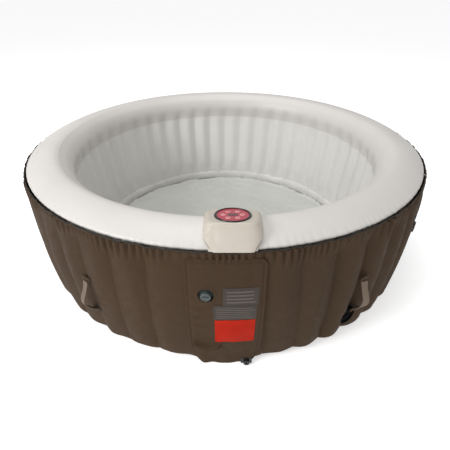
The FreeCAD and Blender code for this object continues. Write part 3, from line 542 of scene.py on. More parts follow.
def make_finish(
    name,
    colour,
    rough=0.5,
    spread=0.07,
    darker=0.86,
    grain="pressed_grain",
    fineness=400.0,
    wrinkles=14.0,
    patches=3.0,
    depth=0.25,
    relief=0.0004,
    on_cloth=False,
    dust=0.0,
    dust_colour=(0.55, 0.52, 0.47),
    metallic=0.0,
    coat=0.0,
    specular=0.5,
):
    """One finish: uneven colour, painted shade in the low parts of the grain and between threads, settled
    dust, varied roughness and a raised grain.
    """
    material = bpy.data.materials.new(name)
    material.use_nodes = True
    material.node_tree.nodes.clear()
    tree = Tree(material.node_tree)
    spot = tree.add("ShaderNodeTexCoord")
    place = spot.outputs["Object"]
    cloth = spot.outputs["UV"] if on_cloth else place
    mottle = use_group(tree, "mottling", place, Patches=patches, Specks=patches * 16)
    if grain == "woven_threads":
        face = use_group(tree, grain, cloth, Threads=fineness, Slub=wrinkles)
        low = face.outputs["Gap"]
    else:
        face = use_group(tree, grain, place, Pebbles=fineness, Wrinkles=wrinkles)
        low = face.outputs["Hollow"]
    blend = tree.add("ShaderNodeMix", "patches", data_type="RGBA")
    blend.inputs["A"].default_value = shade(colour, 1.0)
    blend.inputs["B"].default_value = shade(colour, darker)
    tree.join(mottle.outputs["Patch"], blend.inputs["Factor"])
    # Painted shade: the low parts of the grain and the gaps between threads are darkened.
    hollow_shade = tree.add("ShaderNodeMix", "painted_hollow_shade", data_type="RGBA")
    hollow_shade.inputs["B"].default_value = shade(colour, darker * 0.8)
    tree.join(blend.outputs["Result"], hollow_shade.inputs["A"])
    tree.join(tree.sum("MULTIPLY", low, depth), hollow_shade.inputs["Factor"])
    top = hollow_shade.outputs["Result"]
    if dust:
        parts = tree.add("ShaderNodeSeparateXYZ")
        tree.join(place, parts.inputs[0])
        wear = use_group(tree, "handling_wear", place)
        tree.join(parts.outputs["Z"], wear.inputs["Height"])
        amount = tree.sum("MULTIPLY", wear.outputs["Dust"], dust, True)
        rubbed = tree.sum("MULTIPLY", wear.outputs["Scuff"], dust * 0.3)
        settled = tree.add("ShaderNodeMix", "dust", data_type="RGBA")
        settled.inputs["B"].default_value = dust_colour + (1.0,)
        tree.join(top, settled.inputs["A"])
        tree.join(tree.sum("ADD", amount, rubbed, True), settled.inputs["Factor"])
        top = settled.outputs["Result"]
    gloss = tree.add("ShaderNodeMapRange", "roughness")
    gloss.inputs["To Min"].default_value = max(0.03, rough - spread)
    gloss.inputs["To Max"].default_value = min(1.0, rough + spread)
    tree.join(mottle.outputs["Speck"], gloss.inputs["Value"])
    bump = tree.add("ShaderNodeBump", values={"Strength": 0.6, "Distance": relief})
    tree.join(face.outputs["Height"], bump.inputs["Height"])
    shader = tree.add("ShaderNodeBsdfPrincipled")
    tree.join(top, shader.inputs["Base Color"])
    tree.join(gloss.outputs["Result"], shader.inputs["Roughness"])
    tree.join(bump.outputs["Normal"], shader.inputs["Normal"])
    shader.inputs["Metallic"].default_value = metallic
    shader.inputs["Specular IOR Level"].default_value = specular
    shader.inputs["Coat Weight"].default_value = coat
    end = tree.add("ShaderNodeOutputMaterial")
    tree.join(shader.outputs["BSDF"], end.inputs["Surface"])
    return material


WEBBING = {"grain": "woven_threads", "on_cloth": True, "relief": 0.0008, "depth": 0.5}

# Each finish's name, its colour or the colour property that holds it, its roughness, and the rest.
FINISHES = (
    ("rim vinyl", "rim_vinyl", 0.42, {"darker": 0.95, "wrinkles": 9.0, "depth": 0.06, "relief": 0.0005}),
    # Painted light: the wall's vinyl is the rim's white vinyl made lighter, standing in for light inside
    # the well.
    ("wall vinyl", "wall_vinyl", 0.45, {"darker": 0.94, "depth": 0.06}),
    # Painted shade: the floor's vinyl is the rim's vinyl, a little greyer in tint and darker; the
    # darkening stands in for shade down in the well.
    ("floor vinyl", "floor_vinyl", 0.5, {"darker": 0.93, "wrinkles": 5.0, "relief": 0.0012}),
    ("grey vinyl", (0.16, 0.16, 0.15), 0.6, {"darker": 0.8, "dust": 0.5}),
    (
        "cover cloth",
        "cover_cloth",
        0.72,
        {
            "darker": 0.84,
            "grain": "woven_threads",
            "fineness": 700.0,
            "wrinkles": 60.0,
            "patches": 2.2,
            "depth": 0.35,
            "on_cloth": True,
            "dust": 0.2,
            "dust_colour": (0.12, 0.09, 0.06),
            "specular": 0.12,
        },
    ),
    ("tan webbing", (0.15, 0.108, 0.076), 0.75, {"fineness": 420.0, **WEBBING}),
    ("black webbing", (0.012, 0.011, 0.01), 0.7, {"fineness": 420.0, **WEBBING}),
    ("hem cord", (0.03, 0.022, 0.015), 0.7, {"fineness": 300.0, "depth": 0.4, "specular": 0.2}),
    ("black plastic", (0.012, 0.012, 0.012), 0.4, {"darker": 0.8, "fineness": 900.0}),
    ("slate plastic", (0.045, 0.058, 0.057), 0.5, {"darker": 0.9, "fineness": 900.0}),
    ("grey plastic", (0.11, 0.112, 0.105), 0.45, {"darker": 0.9, "fineness": 900.0}),
    (
        "cream plastic",
        "head_shell",
        0.34,
        {"darker": 0.975, "fineness": 1600.0, "wrinkles": 120.0, "depth": 0.02, "relief": 0.00002},
    ),
    ("keypad black", (0.012, 0.012, 0.013), 0.22, {"fineness": 1500.0, "relief": 0.00005}),
    (
        "keypad red",
        (0.42, 0.035, 0.06),
        0.25,
        {"darker": 0.9, "patches": 20.0, "relief": 0.00005, "coat": 0.3},
    ),
    ("button pink", (0.72, 0.33, 0.33), 0.35, {"fineness": 1500.0, "relief": 0.00005}),
    ("display dark", (0.09, 0.012, 0.016), 0.12, {"relief": 0.00003, "coat": 0.5}),
    ("grey label", (0.036, 0.027, 0.02), 0.4, {"patches": 14.0, "relief": 0.0001, "specular": 0.25}),
    ("label print", (0.095, 0.08, 0.066), 0.4, {"patches": 14.0, "relief": 0.0001, "specular": 0.2}),
    (
        "red label",
        (0.46, 0.013, 0.001),
        0.45,
        {"patches": 9.0, "darker": 0.72, "relief": 0.0001, "specular": 0.06},
    ),
    ("brushed steel", (0.56, 0.56, 0.55), 0.3, {"metallic": 1.0, "fineness": 1500.0}),
    ("motor paint", (0.05, 0.055, 0.06), 0.4, {"fineness": 700.0, "dust": 0.3}),
    ("white plastic", (0.68, 0.68, 0.66), 0.35, {"darker": 0.93, "fineness": 900.0}),
    # Drain port finish: black plastic, with its colour and shine pushed near zero as painted shade of the
    # hole.
    ("port black", (0.002, 0.002, 0.002), 0.7, {"fineness": 900.0, "specular": 0.03}),
    ("flap rubber", (0.03, 0.028, 0.026), 0.75, {"fineness": 800.0}),
    ("filter paper", (0.72, 0.7, 0.64), 0.85, {"darker": 0.9, "wrinkles": 90.0, "relief": 0.001}),
    ("board green", (0.012, 0.12, 0.045), 0.35, {"patches": 30.0, "darker": 0.6}),
)


def make_finishes():
    """Builds the shared effects, then every finish."""
    make_mottling()
    make_pressed_grain()
    make_woven_threads()
    make_handling_wear()
    chosen = bpy.context.scene.tub_colours
    for name, colour, rough, rest in FINISHES:
        if isinstance(colour, str):
            colour = tuple(getattr(chosen, colour))
        make_finish(name, colour, rough, **rest)


# The slots whose finish has another name; the rest are named as their slot is.
SLOT_FINISH = {
    "white_vinyl": "wall vinyl",
    "brown_cover": "cover cloth",
    "brown_webbing": "tan webbing",
    "dark_cord": "hem cord",
    "label_grey": "grey label",
    "label_red": "red label",
    "steel": "brushed steel",
}
# The drain parts whose black plastic is darkened further as painted shade of the port's hole.
PORTS_IN_PAINTED_SHADE = ("drain_port_ring", "drain_cap", "drain_valve_body")


def finish_frame_parts():
    """Every hard part that stays as the frame has it gets the finish of its slot; the drain parts get the
    black port finish, whose near-black is partly painted shade.
    """
    for part in frame["record"]["subparts"]:
        node = part["node"]
        if node not in frame["nodes"]:
            continue
        slot = part["material_slot"]
        finish = bpy.data.materials[SLOT_FINISH.get(slot, slot.replace("_", " "))]
        if node in PORTS_IN_PAINTED_SHADE:
            finish = bpy.data.materials["port black"]
        piece = frame["nodes"][node]
        for place in piece.material_slots:
            place.material = finish


# ---------------------------------------------------------------- the vinyl tub


def lining_profile():
    """The inside of the tub from the foot of the wall to the crest, with its corner eased."""
    points = [(inner_reach(z), z) for z in np.linspace(60, 509, 90)]
    start = math.atan2(RIM_START[1] - INSIDE_ARC[0], RIM_START[0] - CREST_R) + 2 * math.pi
    for angle in np.linspace(start, math.pi / 2, 54)[1:]:
        reach = CREST_R + INSIDE_ARC[1] * math.cos(angle)
        points.append((reach, INSIDE_ARC[0] + INSIDE_ARC[1] * math.sin(angle)))
    points = np.array(points)
    eased = points.copy()
    for _ in range(130):
        eased[60:-8] += 0.5 * ((eased[59:-9] + eased[61:-7]) / 2 - eased[60:-8])
    return eased


LINING_SPLIT = 88


def crease_depth(height):
    """How deep the welded seams are at a height: they fade out under the rim and at the foot."""
    return (0.3 + 0.7 * smooth(60, 170, height)) * (1 - smooth(455, 590, height))


def lining_push(turn, height, sizes):
    """How far the lining swells into the tub between its seams."""
    uneven = 1 + 0.14 * wander(turn, (7, 11, 15), 3)[None]
    swell = channel_swell(turn, sizes.channels)[None]
    return sizes.channel_depth * uneven * swell * crease_depth(height) - 4.0


def make_rim(sizes):
    """The fat white rim: one inside arc, one wide outside arc, and a straight tuck to the hem."""
    inner = lining_profile()[LINING_SPLIT:]
    end = math.atan2(RIM_END[1] - OUTSIDE_ARC[0], RIM_END[0] - CREST_R)
    profile = [tuple(p) for p in inner]
    for angle in np.linspace(math.pi / 2, end, 18)[1:]:
        reach = CREST_R + OUTSIDE_ARC[1] * math.cos(angle)
        profile.append((reach, OUTSIDE_ARC[0] + OUTSIDE_ARC[1] * math.sin(angle)))
    profile += [(1018.5, 600.5), (1013.0, 594.0), (1006.0, 587.0)]
    profile = np.array(profile)
    columns = sizes.channels * sizes.fineness
    turn = round_turns(columns)
    reach = np.repeat(profile[:, :1], columns, axis=1)
    height = np.repeat(profile[:, 1:], columns, axis=1)
    ahead = np.gradient(profile, axis=0)
    normal = np.stack([-ahead[:, 1], ahead[:, 0]], axis=1)
    normal /= np.linalg.norm(normal, axis=1, keepdims=True)
    lift = height[:, :1]
    out = reach[:, :1]
    reach = reach - lining_push(turn, height, sizes) * (1 - smooth(560, 640, height))
    side = from_front(turn)
    left = hump(turn, 278, 36) + 0.9 * hump(turn, 122, 32) + 0.35 * hump(turn, 195, 45)
    fine = gathers(turn, 210, 5) - 0.6
    length = 0.6 + 0.4 * wander(turn, (17, 29, 41), 6)
    crown = hump(out, 930 + 12 * length[None], 42) + 0.8 * hump(out, 1008, 14)
    push = 3.4 * fine[None] * crown * (0.05 + left[None])
    tuck = gathers(turn + 0.3, 170, 8) - 0.6
    push = push + 1.4 * tuck[None] * smooth(985, 1012, out)
    push = push + 2.0 * wander(turn, (2, 3, 5), 4)[None] * hump(out, 900, 60)
    front = 0.25 + 0.75 * np.cos(np.radians(np.clip(side, -120, 120) * 0.7)) ** 2
    push = push - sizes.rim_sag * front[None] * smooth(560, 610, lift) * (1 - smooth(842, 905, out))
    reach = reach + push * normal[:, :1]
    height = height + push * normal[:, 1:]
    return lay("rim_vinyl", on_round(reach, turn[None], height))


def make_inner_wall(sizes):
    """The inner wall between its welded seams, each channel swelling into the well."""
    columns = sizes.channels * 32
    turn = round_turns(columns)
    profile = lining_profile()[: LINING_SPLIT + 1]
    profile = np.concatenate([profile[:60:2], profile[60:]])[::-1]
    reach, height = profile[:, :1], profile[:, 1:]
    slack = wander(turn, (44, 61, 88), 9)[None] * (hump(height, 95, 45) + 0.25)
    slack = slack * (1 - smooth(440, 505, height))
    reach = reach - lining_push(turn, height, sizes) + 1.1 * slack
    return lay("inner_wall_vinyl", on_round(reach, turn[None], height * np.ones((1, columns))))


def make_bubble_band(sizes):
    """The air ring at the foot of the wall, with its row of small outlets."""
    turn = round_turns(sizes.channels * 16)
    shares = np.linspace(0, 1, 22)[:, None]
    height = 66 - 60 * shares
    belly = np.sin(shares * math.pi) ** 0.7
    puff = 1 + 0.3 * wander(turn, (9, 17, 26), 12)[None]
    pinch = 2.6 * (gathers(turn, 96, 13)[None] - 0.5) * smooth(0.35, 0.9, shares)
    reach = 777 - 3.0 * shares - 7.0 * belly * puff - pinch
    reach = reach - 1.0 * smooth(0.84, 1.0, shares)
    height = height + 3.5 * wander(turn, (6, 10, 31, 52), 14)[None] * (1 - smooth(0.7, 1.0, shares))
    return lay("bubble_band_vinyl", on_round(reach, turn[None], height))


def make_outlets(sizes):
    """Small raised eyelets that the bubbles leave by."""

    def work(form):
        for k in range(sizes.outlets):
            turn = TURN * (k + 0.5) / sizes.outlets
            out = outward(turn)
            spot = out * (INNER_FOOT + 0.5) + Vector((0, 0, 40))
            eyelet = ((3.2, 0.0), (3.2, 3.4), (2.2, 4.2), (1.1, 4.0), (1.0, 1.0))
            rings = turned_rings(form, eyelet, 10, placed(-out, sideways(turn), spot))
            skin_rings(form, rings, (0, -1))

    return build("bubble_outlets", work)


def make_floor(sizes):
    """The soft floor: nearly flat, faintly wrinkled, puckered where it meets the wall."""
    columns = sizes.channels * 10
    turn = round_turns(columns)
    reach = np.concatenate([np.linspace(772, 700, 16), np.linspace(690, 6, 58)])[:, None]
    angle = np.radians(turn)[None]
    across = reach * np.sin(angle)
    along = -reach * np.cos(angle)
    height = 10.0 + 3.0 * ruffle(across, along, 260, 21) + 1.6 * ruffle(across, along, 90, 22)
    fold = ruffle(across, along, 420, 23, 5)
    height = height + 4.5 * hump(fold, 0.35, 0.1) * smooth(40, 120, reach)
    pucker = gathers(turn, 110, 24)[None]
    kink = 7 * wander(turn, (9, 21, 37), 25)[None]
    height = height + (4 + 5 * pucker) * hump(reach, 744 + kink, 13)
    height = height - 3.5 * smooth(752, 772, reach)
    height = np.maximum(height, 3.2)
    floor = lay("floor_vinyl", on_round(reach, turn[None], height))
    close = bmesh.new()
    close.from_mesh(floor.data)
    close.verts.ensure_lookup_table()
    last = [close.verts[i] for i in range(len(close.verts) - columns, len(close.verts))]
    face = close.faces.new(last)
    face.smooth = True
    bmesh.ops.recalc_face_normals(close, faces=close.faces)
    close.to_mesh(floor.data)
    close.free()
    return floor


def make_underside(sizes):
    """The tough grey ground sheet, welded in rings."""
    turn = round_turns(sizes.channels * 6)
    reach = np.linspace(8, BASE_R, 60)[:, None]
    angle = np.radians(turn)[None]
    height = 1.2 + 0.5 * ruffle(reach * np.sin(angle), reach * np.cos(angle), 180, 31)
    height = height + 0.6 * hump(reach % 155, 78, 5)
    return lay("ground_sheet", on_round(reach, turn[None], np.clip(height, 0.2, 3.0)))


def make_outer_wall(sizes):
    """The air chamber's outer skin under the cover, swelling between its webs."""
    columns = sizes.channels * 14
    turn = round_turns(columns)
    height = np.linspace(40, 585, 44)[:, None]
    swell = channel_swell(turn, sizes.channels)[None]
    reach = wall_reach(height) - 42.0 + 14.0 * swell
    window = np.abs(from_front(turn)) < 6.5
    cell = np.repeat(window[None], len(height) - 1, axis=0)
    low = height[:-1] < 540
    return lay(
        "outer_wall_vinyl",
        on_round(reach, turn[None], height * np.ones((1, columns))),
        keep=~(cell & low),
    )


def make_webs(sizes):
    """The flat webs that hold the wall's two skins apart, behind every seam outside the bay."""

    def work(form):
        for k in range(2, sizes.channels - 1):
            out = outward(TURN * k / sizes.channels)
            along = sideways(TURN * k / sizes.channels)
            rows = []
            for height in np.linspace(14, 498, 16):
                inner = inner_reach(height) + 6.0
                outer = float(wall_reach(height)) - 44.0
                row = []
                for share in np.linspace(0, 1, 8):
                    bow = 5.0 * math.sin(math.pi * share) * math.sin(height * 0.021 + 1.7 * k)
                    spot = out * (inner + (outer - inner) * share) + along * bow
                    row.append(form.verts.new(spot + Vector((0, 0, height))))
                rows.append(row)
            for low, high in zip(rows, rows[1:]):
                for a, b, c, d in zip(low, low[1:], high[1:], high):
                    form.faces.new((a, b, c, d))

    return build("beam_webs_vinyl", work)


def make_bottom(sizes):
    """The ring of vinyl that closes the air chamber underneath, slightly puckered."""
    turn = round_turns(sizes.channels * 8)
    shares = np.linspace(0, 1, 12)[:, None]
    outer = float(wall_reach(FOOT_ARC)) - 50.0
    reach = 773.0 + (outer - 773.0) * shares
    pucker = 1 + wander(turn, (9, 14, 23), 61)[None]
    height = 4.6 + 0.9 * np.sin(math.pi * shares) * pucker
    return lay("wall_bottom_vinyl", on_round(reach, turn[None], height))


def make_bay_lining():
    """The slack lining round the pump: a cheek on each side and a back against the inner wall."""
    corner = 8.6
    cheek = np.linspace(1, 0, 12)
    arc = np.linspace(-corner, corner, 25)
    turn = np.concatenate([np.full(12, -corner), arc[1:-1], np.full(12, corner)])
    depth = np.concatenate([cheek, np.zeros(23), cheek[::-1]])
    height = np.linspace(10, 528, 40)[:, None]
    outer = wall_reach(np.maximum(height, FOOT_ARC)) - 54.0
    slack = 2.2 * np.sin(height * 0.03 + turn[None] * 0.7) * np.sin(height * 0.011 + 2 * depth)
    reach = 838.0 + (outer - 838.0) * depth[None] + slack
    return lay("pump_bay_vinyl", on_round(reach, turn[None], height * np.ones((1, 47))), closed=False)


# ---------------------------------------------------------------- the brown cover


def cover_shape(turn, height, sizes):
    """How far the cover stands from the axis: bowed wall, channels, pleats and slack."""
    turn = np.asarray(turn, float)
    height = np.asarray(height, float)
    base = wall_reach(height)
    side = from_front(turn)
    strong = 0.62 + 0.7 * smooth(9, 20, side) * (1 - smooth(150, 178, side))
    strong = strong * (1 - 0.85 * hump(side, 0, 10))
    lean = 0.8 * wander(turn, (3, 7), 41) * (height - 300) / 300
    swell = channel_swell(turn + lean, sizes.channels) ** 0.6
    uneven = 1 + 0.35 * wander(turn, (13, 17), 47)
    body = (0.45 + 0.55 * smooth(10, 90, height)) * (1 - 0.75 * smooth(505, 590, height))
    reach = base + sizes.cover_channel_depth * strong * uneven * (swell - 0.8) * body
    pleat = gathers(turn + 0.4, 236, 42) - 0.55
    deep = np.clip(0.75 + 0.4 * wander(turn, (11, 19, 29), 43), 0.45, 1.3)
    run = smooth(596 - 88 * deep, 588, height)
    reach = reach + 15.0 * pleat * deep * run
    flat = turn * 18.0
    slack = ruffle(flat, height * 0.45, 150, 44)
    reach = reach + 1.5 * slack * smooth(40, 120, height) * (1 - hump(side, 0, 9))
    foot = 1 - smooth(30, 130, height)
    for lid_turn in BUCKLES.values():
        away = from_front(turn - lid_turn)
        reach = reach - 9.0 * hump(away, 0, 2.6) * hump(height, BUCKLE_DENT_Z, 40)
    return reach + 3.5 * foot * wander(turn, (22, 31, 44, 57), 45)


def hem_wave(turn):
    """How the gathered hem rises and falls round the tub, in millimetres."""
    bunch = gathers(turn, 122, 71)
    return 4.6 * (bunch - 0.62) + 1.8 * wander(turn, (31, 47, 66), 73)


def make_cover(sizes):
    """The sewn cover: it hangs from the hem, hugs the wall and turns under at the foot."""
    columns = sizes.channels * sizes.fineness
    turn = round_turns(columns)
    rows = []
    under = []
    for angle in np.linspace(-90, 0, 9):
        rows.append(FOOT_ARC + FOOT_ARC * math.sin(math.radians(angle)))
        under.append(FOOT_IN + FOOT_ARC * math.cos(math.radians(angle)))
    runs = ((FOOT_ARC, 98, 4), (98, 190, 12), (190, 500, 12), (500, HEM_Z, 16))
    upper = np.concatenate([np.linspace(low, high, n + 1)[1:] for low, high, n in runs])
    height = np.concatenate([rows, upper])[:, None]
    turned = np.concatenate([under, wall_reach(upper)])[:, None]
    shape = cover_shape(turn[None], np.maximum(height, FOOT_ARC), sizes)
    reach = turned + (shape - wall_reach(np.maximum(height, FOOT_ARC)))
    rumple = 0.5 + 0.5 * wander(turn, (26, 37, 58), 46)[None]
    height = height + 5.0 * rumple * hump(height, 6, 18)
    height = height + hem_wave(turn)[None] * smooth(565, HEM_Z, height)
    reach = np.concatenate([np.full((1, columns), BASE_R + 2.0), reach])
    height = np.concatenate([np.full((1, columns), 1.4), np.maximum(height, 0.6)])
    centre = (np.roll(turn, -1) + turn) / 2
    centre[-1] = turn[-1] + TURN / columns / 2
    middle_turn = from_front(centre)[None]
    middle = (height[1:] + height[:-1]) / 2
    window = (np.abs(middle_turn) < 6.2) & (middle > 44) & (middle < 540)
    keep = ~window
    beside = (middle_turn - DRAIN_AT[0]) * math.radians(1) * COVER_R
    keep &= np.hypot(beside, middle - DRAIN_AT[1]) > sizes.port_hole
    side, height, _ = pull_to_hole(
        from_front(turn)[None], height, DRAIN_AT, COVER_R, sizes.port_hole, sizes.port_hole + 9
    )
    points = on_round(reach, side, height)
    return lay("cover_cloth", points, keep=keep)


def pull_to_hole(turn, height, spot, around, hole, near):
    """Moves the grid points inside a round hole in the wall out to its edge."""
    degree = math.radians(1) * around
    side = (turn - spot[0]) * degree
    rise = height - spot[1]
    far = np.hypot(side, rise)
    scale = np.where(far < near, np.maximum(far, hole) / np.maximum(far, 1), 1)
    return turn + (scale - 1) * side / degree, spot[1] + rise * scale, far


def panel_reach(turn, height):
    """How far the pump panel stands from the axis, with its folds and its sewn edge."""
    side = np.asarray(turn, float)
    height = np.asarray(height, float)
    reach = wall_reach(np.maximum(height, 40.0), 4.0)
    hang = 1 - smooth(30, 110, height)
    reach = reach + hang * (1016.0 - reach)
    reach = reach + 3.0 * hang * np.cos(np.radians(side) * 70)
    share = np.clip((side + 7.6) / 7.0, 0, 1)
    crest = 146 - 34 * np.sin(share * math.pi) ** 0.8
    inside = smooth(0, 0.12, share) * (1 - smooth(0.82, 1, share))
    reach = reach + inside * (15.0 * hump(height, crest + 3, 12) - 17.0 * hump(height, crest - 15, 7))
    lines = np.sin(height / 7.5 + 1.6 * np.sin(side * 0.9))
    left = hump(side, -5.4, 2.0) * smooth(190, 240, height) * (1 - smooth(400, 450, height))
    reach = reach + 1.6 * lines * left
    reach = reach + 0.9 * ruffle(side * 18, height, 110, 51)
    reach = reach + 2.0 * (gathers(side, 150, 52) - 0.5) * smooth(528, 566, height)
    return reach


def make_panel(sizes):
    """The pump panel: sewn down both sides, round at its top corners, hanging to the ground."""
    half = PANEL_HALF
    across = np.linspace(-half, half, 121)
    shares = np.linspace(0, 1, 131)[:, None]
    corner = np.clip((np.abs(across) - (half - 1.7)) / 1.7, 0, 1)
    top = 573 - 30 * (1 - np.sqrt(np.maximum(1 - corner**2, 0)))
    low = 3.5 + 30 * smooth(5.2, half, np.abs(across)) + 2.0 * np.cos(across * 1.7)
    height = low[None] + (top - low)[None] * shares
    turn = across[None] * np.ones_like(shares)
    turn = turn - 0.45 * (1 - smooth(20, 160, height)) * (across / half)[None]
    reach = panel_reach(turn, height)
    edge = np.minimum(half - np.abs(across)[None], (top[None] - height) / 18)
    reach = reach + 0.8 * hump(edge, 0.2, 0.15) - 3.0 * hump(edge, 0.6, 0.3)
    reach = reach - 4.0 * (1 - smooth(0.0, 0.18, edge))
    seen_at = (VALVE_AT[0] - PANEL_TURN, VALVE_AT[1])
    turn, height, far = pull_to_hole(turn, height, seen_at, PANEL_R, sizes.knob_hole, 40)
    reach = reach + 2.6 * hump(far, sizes.knob_hole + 5, 5)
    middle = (far[1:, 1:] + far[:-1, :-1] + far[1:, :-1] + far[:-1, 1:]) / 4
    return lay(
        "pump_panel_cloth",
        on_round(reach, turn + PANEL_TURN, height),
        closed=False,
        keep=middle > sizes.knob_hole,
    )


def make_label(name, turns, heights, tears=0.0):
    """A stuck-on label that follows the panel."""
    across = np.linspace(turns[0], turns[1], 45)[None]
    shares = np.linspace(0, 1, 41)[:, None]
    height = heights[0] + (heights[1] - heights[0]) * shares + tears * np.cos(across * 2.1)
    reach = panel_reach(across, height) + 1.1
    return lay(name, on_round(reach, across + PANEL_TURN + 0 * shares, height), closed=False)


def make_label_blocks():
    """Plain rows of pale blocks where a grey label carries its printing, with no lettering."""
    rows = []
    draw = np.random.default_rng(61)
    for low, high, left, right, count in ((376, 442, 0.2, 6.4, 4), (298, 357, -1.9, 6.2, 6)):
        step = (high - low) / count
        for k in range(count):
            foot = low + step * (k + 0.25)
            end = right - draw.uniform(0, 1.2)
            rows.append((left, end, foot, foot + step * 0.42))
    form = bmesh.new()
    for left, right, low, high in rows:
        spots = np.linspace(left, right, 12)
        ring = []
        for height in (low, high):
            reach = panel_reach(spots, np.full(12, height)) + 1.7
            ring.append([form.verts.new(p) for p in on_round(reach, spots + PANEL_TURN, height)])
        for k in range(11):
            form.faces.new((ring[0][k], ring[0][k + 1], ring[1][k + 1], ring[1][k]))
    mesh = bpy.data.meshes.new("label_blocks")
    form.to_mesh(mesh)
    form.free()
    return link(mesh, "label_blocks")


def make_hem():
    """The elastic hem between rim and cover: a cord bunched into uneven scallops."""
    turn = round_turns(HEM_STEPS)
    bead = gathers(turn, 168, 71)
    reach = HEM_R - 2.2 + 1.2 * (bead - 0.5)
    height = HEM_Z + 0.5 + hem_wave(turn) - 2.0 * smooth(60, 100, np.abs(from_front(turn)))
    thick = 2.1 + 1.7 * bead
    angle = np.linspace(0, 2 * math.pi, 11)[:, None]
    points = on_round(
        reach + thick * np.cos(angle), turn[None], height + 1.25 * thick * np.sin(angle)
    )
    return lay("hem_cord_bunched", points)


# Outlines of the two caps, as (radius, height above the wall).
VALVE_CAP = (
    (14.0, -12.0), (25.5, -12.0), (26.0, -10.5), (25.6, -5.2), (20.6, -4.6), (20.0, -1.0),
    (19.4, 12.0), (18.6, 14.4), (17.0, 15.2), (15.0, 14.9), (12.0, 13.6), (3.0, 13.4),
)
DRAIN_CAP = (
    (30.0, -6.0), (43.5, -5.5), (45.0, -2.0), (45.0, 1.5), (43.6, 3.4), (40.0, 3.9), (37.6, 3.0),
    (36.4, 0.6), (33.0, -0.4), (16.0, -0.6), (3.0, -0.6),
)


def make_cap(name, spot, outline, ribs, bar):
    """A screwed cap: a turned outline with ribs on its skirt and a finger bar across its top."""
    place = on_wall(*spot, 0.0)
    widest = max(radius for radius, depth in outline)
    top = outline[-1][1]

    def ribbed(radius, angle):
        on_skirt = 0.74 < radius / widest < 0.81
        return radius + (ribs * math.cos(24 * angle) if on_skirt else 0.0)

    def work(form):
        skin_rings(form, turned_rings(form, outline, 72, place, ribbed), (-1,))
        grip = rounded(1.25 * bar, 0.19 * bar, 1.6, 4)
        plate(form, grip, top - 0.4, top + 2.4, lambda p: place @ p)

    return build(name, work)


# ---------------------------------------------------------------- straps and buckles


HANDLES = {
    "front_left": (-32.7, -9.0, 12.0, -16.0),
    "front_right": (32.7, 3.0, 40.0, -46.0),
    "back_left": (-147.3, 7.0, 16.0, -12.0),
    "back_right": (147.3, -7.0, -16.0, 12.0),
}
STRAP_TOP = 338.0
STRAP_LOW = 182.0
WEBBING_WIDE = 26.0
STRAP_THICK = 3.2
STRAP_BOW = 34.0


def strap_points(turn, flop, twist, curl, first, last, wide, thick, count):
    """A flat strap that bows off the wall, flops to a side and twists, as rings of points."""
    out, along = outward(turn), sideways(turn)
    rings = []
    for share in np.linspace(first, last, count):
        height = STRAP_TOP + (STRAP_LOW - STRAP_TOP) * share
        arch = math.sin(math.pi * min(max(share, 0), 1) ** 1.55)
        bow = STRAP_BOW * arch**0.75
        drop = 5.0 * math.sin(2 * math.pi * share)
        shift = flop * arch**1.3
        tangent = Vector((0, 0, -1)) + out * 0.35 * math.cos(math.pi * share)
        tangent.normalize()
        roll = math.radians(twist * arch + curl * (share - 0.5))
        flat = along * math.cos(roll) + out * math.sin(roll)
        flat = (flat - tangent * flat.dot(tangent)).normalized()
        face = tangent.cross(flat)
        reach = float(wall_reach(height)) + 5.5 + bow
        centre = out * reach + along * shift + Vector((0, 0, height - drop))
        ring = []
        for x, y in rounded(wide, thick, thick * 0.45, 3):
            cup = 1.6 * (x / (wide / 2)) ** 2
            ring.append(centre + flat * x + face * (y + cup))
        rings.append([tuple(p * MM) for p in ring])
    return np.array(rings)


def cap_ends(piece):
    """Closes the open ends of a tube."""
    form = bmesh.new()
    form.from_mesh(piece.data)
    edges = [e for e in form.edges if e.is_boundary]
    bmesh.ops.holes_fill(form, edges=edges, sides=0)
    bmesh.ops.recalc_face_normals(form, faces=form.faces)
    form.to_mesh(piece.data)
    form.free()
    return piece


def make_handle(side):
    """Builds one carrying strap and its bound ends."""
    turn, flop, twist, curl = HANDLES[side]
    body = "handle_" + side
    shape = (turn, flop, twist, curl)
    strap = cap_ends(
        lay(
            "handle_strap_" + side + "_woven",
            strap_points(*shape, 0.02, 0.98, WEBBING_WIDE, STRAP_THICK, 54),
        )
    )
    dress(strap, "tan webbing", "brown_webbing", body, "handle_strap_" + side)
    ends = (("upper", -0.005, 0.1), ("lower", 0.86, 1.005))
    for label, first, last in ends:
        sleeve = cap_ends(
            lay(
                "handle_binding_" + side + "_" + label,
                strap_points(*shape, first, last, WEBBING_WIDE + 3.0, STRAP_THICK + 2.2, 12),
            )
        )
        dress(sleeve, "tan webbing", "black_webbing", body)


def make_patch(name, turn, height, wide, tall, finish, slot, raised=3.5):
    """A sewn patch on the wall: turned edges, crossed stitching and a soft face."""
    place = on_wall(turn, height, 1.6)

    def work(form):
        steps = 14
        grid = []
        for i in range(steps + 1):
            row = []
            for j in range(steps + 1):
                x = wide * (j / steps - 0.5)
                y = tall * (i / steps - 0.5)
                edge = min(wide / 2 - abs(x), tall / 2 - abs(y))
                stitch = min(abs(edge - 3.0), abs(abs(x) / wide - abs(y) / tall) * 20 + 0.3)
                lift = raised * min(1.0, (edge + 0.4) / 1.6) ** 0.5 - 1.0 * math.exp(-stitch)
                drop = float(wall_reach(height + y) - wall_reach(height))
                curve = -x * x / 2 / WALL_REACH
                row.append(form.verts.new(place @ Vector((x, y, lift + drop + curve))))
            grid.append(row)
        for i in range(steps):
            for j in range(steps):
                form.faces.new((grid[i][j], grid[i][j + 1], grid[i + 1][j + 1], grid[i + 1][j]))

    return dress(build(name, work, subdivide=1), finish, slot, "tub")


